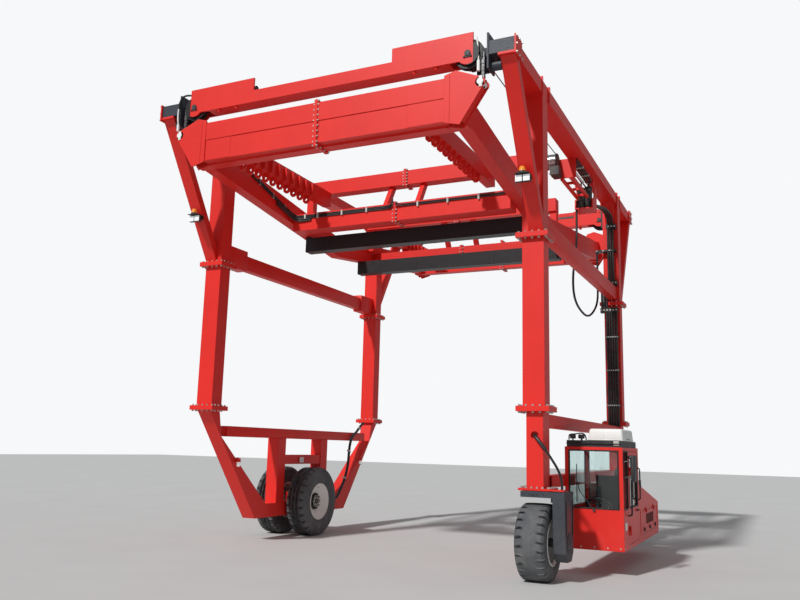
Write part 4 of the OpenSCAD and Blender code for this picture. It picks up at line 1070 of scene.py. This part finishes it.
# cab interior: seat, console, wheel and levers
def cushionMesh(low, high, crown, channels, upright, pinch=0.03):
    # a closed form, full in the middle and pulled in along its sides
    bm = bmesh.new()
    low, high = Vector(low), Vector(high)
    middle, size = (low + high) / 2, high - low
    block(bm, low, high)
    bmesh.ops.subdivide_edges(bm, edges=list(bm.edges), cuts=9, use_grid_fill=True)
    across, along, thick = (0, 2, 1) if upright else (0, 1, 2)
    for vert in bm.verts:
        place = [(vert.co[i] - middle[i]) / (size[i] / 2) for i in range(3)]
        u, v, w = place[across], place[along], place[thick]
        if w > -0.9 or upright:
            vert.co[thick] += crown * (1 - u * u) * (1 - v * v) * (1 if w > -0.5 else -0.15)
        vert.co[across] -= size[across] / 2 * pinch * (1 - v * v) * u * abs(u) ** 3
        vert.co[along] -= size[along] / 2 * pinch * (1 - u * u) * v * abs(v) ** 3
        if w > 0.5:
            for channel in channels:
                near = max(0.0, 1 - abs(v - channel) / 0.1)
                vert.co[thick] -= 0.01 * near * (1 - abs(u) ** 6)
    bevel(bm, [edge for edge in bm.edges if edge.calc_face_angle(0) > 0.9], 0.014, 3)
    for spin in range(2):
        bmesh.ops.smooth_vert(bm, verts=bm.verts, factor=0.35, use_axis_x=True, use_axis_y=True, use_axis_z=True)
    return bm


seatSizes = {
    "seatCushion": ((3.022, -1.212, 0.655), (3.468, -0.758, 0.742), 0.02, (-0.35, 0.35), False),
    "seatBack": ((3.035, -0.762, 0.76), (3.455, -0.688, 1.3), -0.016, (-0.5, 0.0, 0.45), True),
}
for name, facts in seatSizes.items():
    cushion = finish(name, cushionMesh(*facts), "seatFabric", sharp=60)
    rounding = cushion.modifiers.new("round", "SUBSURF")
    rounding.levels = rounding.render_levels = 1

bm = bmesh.new()
seatX = 3.245
block(bm, (3.07, -1.17, 0.395), (3.42, -0.8, 0.425), 0.006, 2)
for step in range(6):
    grow, z = 0.01 if step % 2 else 0.0, 0.425 + step * 0.034
    block(bm, (3.12 - grow, -1.12 - grow, z), (3.37 + grow, -0.85 + grow, z + 0.032), 0.008, 2)
block(bm, (3.04, -1.2, 0.629), (3.45, -0.77, 0.655), 0.006, 2)
block(bm, (3.06, -0.7, 0.64), (3.43, -0.682, 1.27), 0.006, 2)
# console, dash and side boxes with levers
block(bm, (3.072, -1.84, 0.395), (3.418, -1.69, 0.8), 0.018, 3)
turned(bm, (0.4, 0.17, 0.03), at((seatX, -1.765, 0.822), 14), 0.008)
for side in sides:
    x = seatX + side * 0.262
    block(bm, (x - 0.038, -1.19, 0.395), (x + 0.038, -0.86, 0.82), 0.012, 3)
    for y in (-1.15, -1.085, -1.02):
        rod(bm, (x, y, 0.815), (x, y - 0.012, 0.885), 0.006, 10)
        bmesh.ops.create_uvsphere(bm, u_segments=14, v_segments=8, radius=0.016, matrix=at((x, y - 0.013, 0.896)))
# steering column and wheel
rod(bm, (seatX, -1.74, 0.82), (seatX, -1.61, 0.905), 0.024, 16, 0.018)
tilt = at((seatX, -1.6, 0.915), -33)
ring = [tilt @ Vector((0.165 * cos(radians(a)), 0.165 * sin(radians(a)), 0)) for a in range(0, 361, 10)]
tube(bm, ring, 0.0125, 3)
for a in (90, 210, 330):
    rod(bm, tilt @ Vector(), tilt @ Vector((0.16 * cos(radians(a)), 0.16 * sin(radians(a)), 0)), 0.01, 10)
rod(bm, tilt @ Vector((0, 0, -0.012)), tilt @ Vector((0, 0, 0.014)), 0.03, 20, 0.024)
rod(bm, tilt @ Vector((0.11, 0.105, 0.0)), tilt @ Vector((0.11, 0.105, 0.055)), 0.012, 12, 0.015)
finish("cabInside", bm, "blackPlastic", replaced="cab_seat")
print("cab furnished")


# engine house: louvres, latches, hinges' straps, exhaust and filler
slope = atan2(1.175 - 0.84, 1.31 + 0.62)
bm = bmesh.new()
for step in range(11):
    y = 0.2 + step * 0.075
    z = 1.175 - (y + 0.62) * tan(slope)
    turned(bm, (0.46, 0.06, 0.006), at((3.245, y, z + 0.009), 16 - degrees(slope)), 0.0015)
for step in range(9):
    turned(bm, (0.52, 0.006, 0.034), at((3.245, 1.316, 0.46 + step * 0.04), -18), 0.0015)
for y in (-0.52, 1.17):
    block(bm, (3.638, y - 0.01, 0.44), (3.646, y + 0.01, 0.8), 0.002, 1)
finish("houseLouvres", bm, "redPaint")
bm = bmesh.new()
for y in (-0.2, 0.345, 0.89):
    block(bm, (3.64, y - 0.03, 0.47), (3.65, y + 0.03, 0.53), 0.004, 2)
    turned(bm, (0.01, 0.018, 0.062), at((3.655, y, 0.5), 25), 0.003)
for step in range(12):
    turned(bm, (0.006, 0.014, 0.15), at((3.6425, 0.02 + step * 0.062, 0.64)), 0.0015)
finish("engineDoorTrim", bm, "blackPlastic", "engine_door")
bm = bmesh.new()
tube(bm, smoothLine([(3.02, 1.0, 0.8), (3.02, 1.0, 0.96), (3.02, 1.0, 1.2), (3.02, 1.02, 1.3), (3.02, 1.1, 1.345)]),
     0.034, 4)
for low, high, wide, sections in ((0.905, 0.925, 0.06, 24), (0.985, 1.185, 0.052, 28), (0.985, 1.005, 0.056, 28),
                                  (1.165, 1.185, 0.056, 28)):
    rod(bm, (3.02, 1.0, low), (3.02, 1.0, high), wide, sections)
finish("exhaust", bm, "castIron")
bm = bmesh.new()
rod(bm, (3.48, -0.48, 1.142), (3.48, -0.48, 1.186), 0.042, 24, 0.038)
rod(bm, (3.48, -0.48, 1.186), (3.48, -0.48, 1.198), 0.034, 24, 0.028)
for y in (-1.86, -1.4, -0.96):
    bolt(bm, (3.64, y, 0.375), (1, 0, 0), 0.01, 0.01)
for x in (2.9, 3.06, 3.24, 3.42, 3.59):
    bolt(bm, (x, -1.89, 0.372), (0, -1, 0), 0.008, 0.008)
finish("fillerCap", bm, "boltZinc")
# blank labels: plain pale tags where such a machine has its plates
bm = bmesh.new()
for low, high in (((3.641, -1.8, 0.6), (3.6435, -1.66, 0.7)), ((2.66, -2.8625, 1.48), (2.76, -2.8605, 1.54)),
                  ((-2.5748, -0.2, 1.3), (-2.5725, -0.06, 1.4))):
    block(bm, low, high, 0.0008, 1)
finish("blankTags", bm, "tagWhite")
print("engine house dressed")

# load bars: wear strips and the bolts of their end stops
bm = bmesh.new()
for face in sides:
    for x in (-1.6, -0.8, 0.8, 1.6):
        block(bm, (x - 0.045, face - 0.104, 5.1), (x + 0.045, face + 0.104, 5.3), 0.003, 1)
    for side in sides:
        x = side * 2.0895
        boltRow(bm, (x, face * 0.93, 5.16), (x, face * 1.07, 5.16), 3, (side, 0, 0), 0.013, 0.012)
finish("loadBarBands", bm, "blackPaint", "lifting_frame")


# floor, lamps and sky
floorLook = {"colour": (0.56, 0.56, 0.55, 1), "mottled": (0.5, 0.495, 0.485, 1), "half": 60.0}
floorMesh = bpy.data.meshes.new("floor")
bm = bmesh.new()
bmesh.ops.create_grid(bm, x_segments=1, y_segments=1, size=floorLook["half"])
bm.to_mesh(floorMesh)
bm.free()
floor = addObject("floor", floorMesh)
tree, shader, where = newMaterial("floorPale")
mottle = mapped(tree, noise(tree, where, 0.7, 6.0, 0.6), 0.35, 0.75, 0.0, 0.5)
colour = mixColour(tree, mottle, floorLook["colour"], floorLook["mottled"])
feed(tree, shader, {"Base Color": colour, "Roughness": 0.85})
floorMesh.materials.append(bpy.data.materials["floorPale"])
floor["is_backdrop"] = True

lightSetup = {"sun": 3.0, "soft": 3.5, "from": (-0.2, -0.84, 0.74), "sky": 0.33}
sunData = bpy.data.lights.new("softSun", "SUN")
sunData.energy = lightSetup["sun"]
sunData.angle = radians(lightSetup["soft"])
sun = addObject("softSun", sunData)
sun.rotation_euler = Vector(lightSetup["from"]).to_track_quat("Z", "Y").to_euler()

world = bpy.data.worlds.new("paleSky")
scene.world = world
world.use_nodes = True
tree = world.node_tree
tree.nodes.clear()
rays = add(tree, "LightPath").outputs
seen = maths(tree, "MAXIMUM", rays["Is Camera Ray"], rays["Is Transmission Ray"])
dim = add(tree, "Background", {"Color": (0.93, 0.96, 1.0, 1), "Strength": lightSetup["sky"]})
pale = add(tree, "Background", {"Color": (0.93, 0.94, 0.95, 1), "Strength": 1.0})
mixer = add(tree, "MixShader", {0: seen, 1: dim.outputs[0], 2: pale.outputs[0]})
add(tree, "OutputWorld", {"Surface": mixer.outputs[0]})
scene.view_settings.view_transform = "Standard"
print("stage and light ready")

low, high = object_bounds()
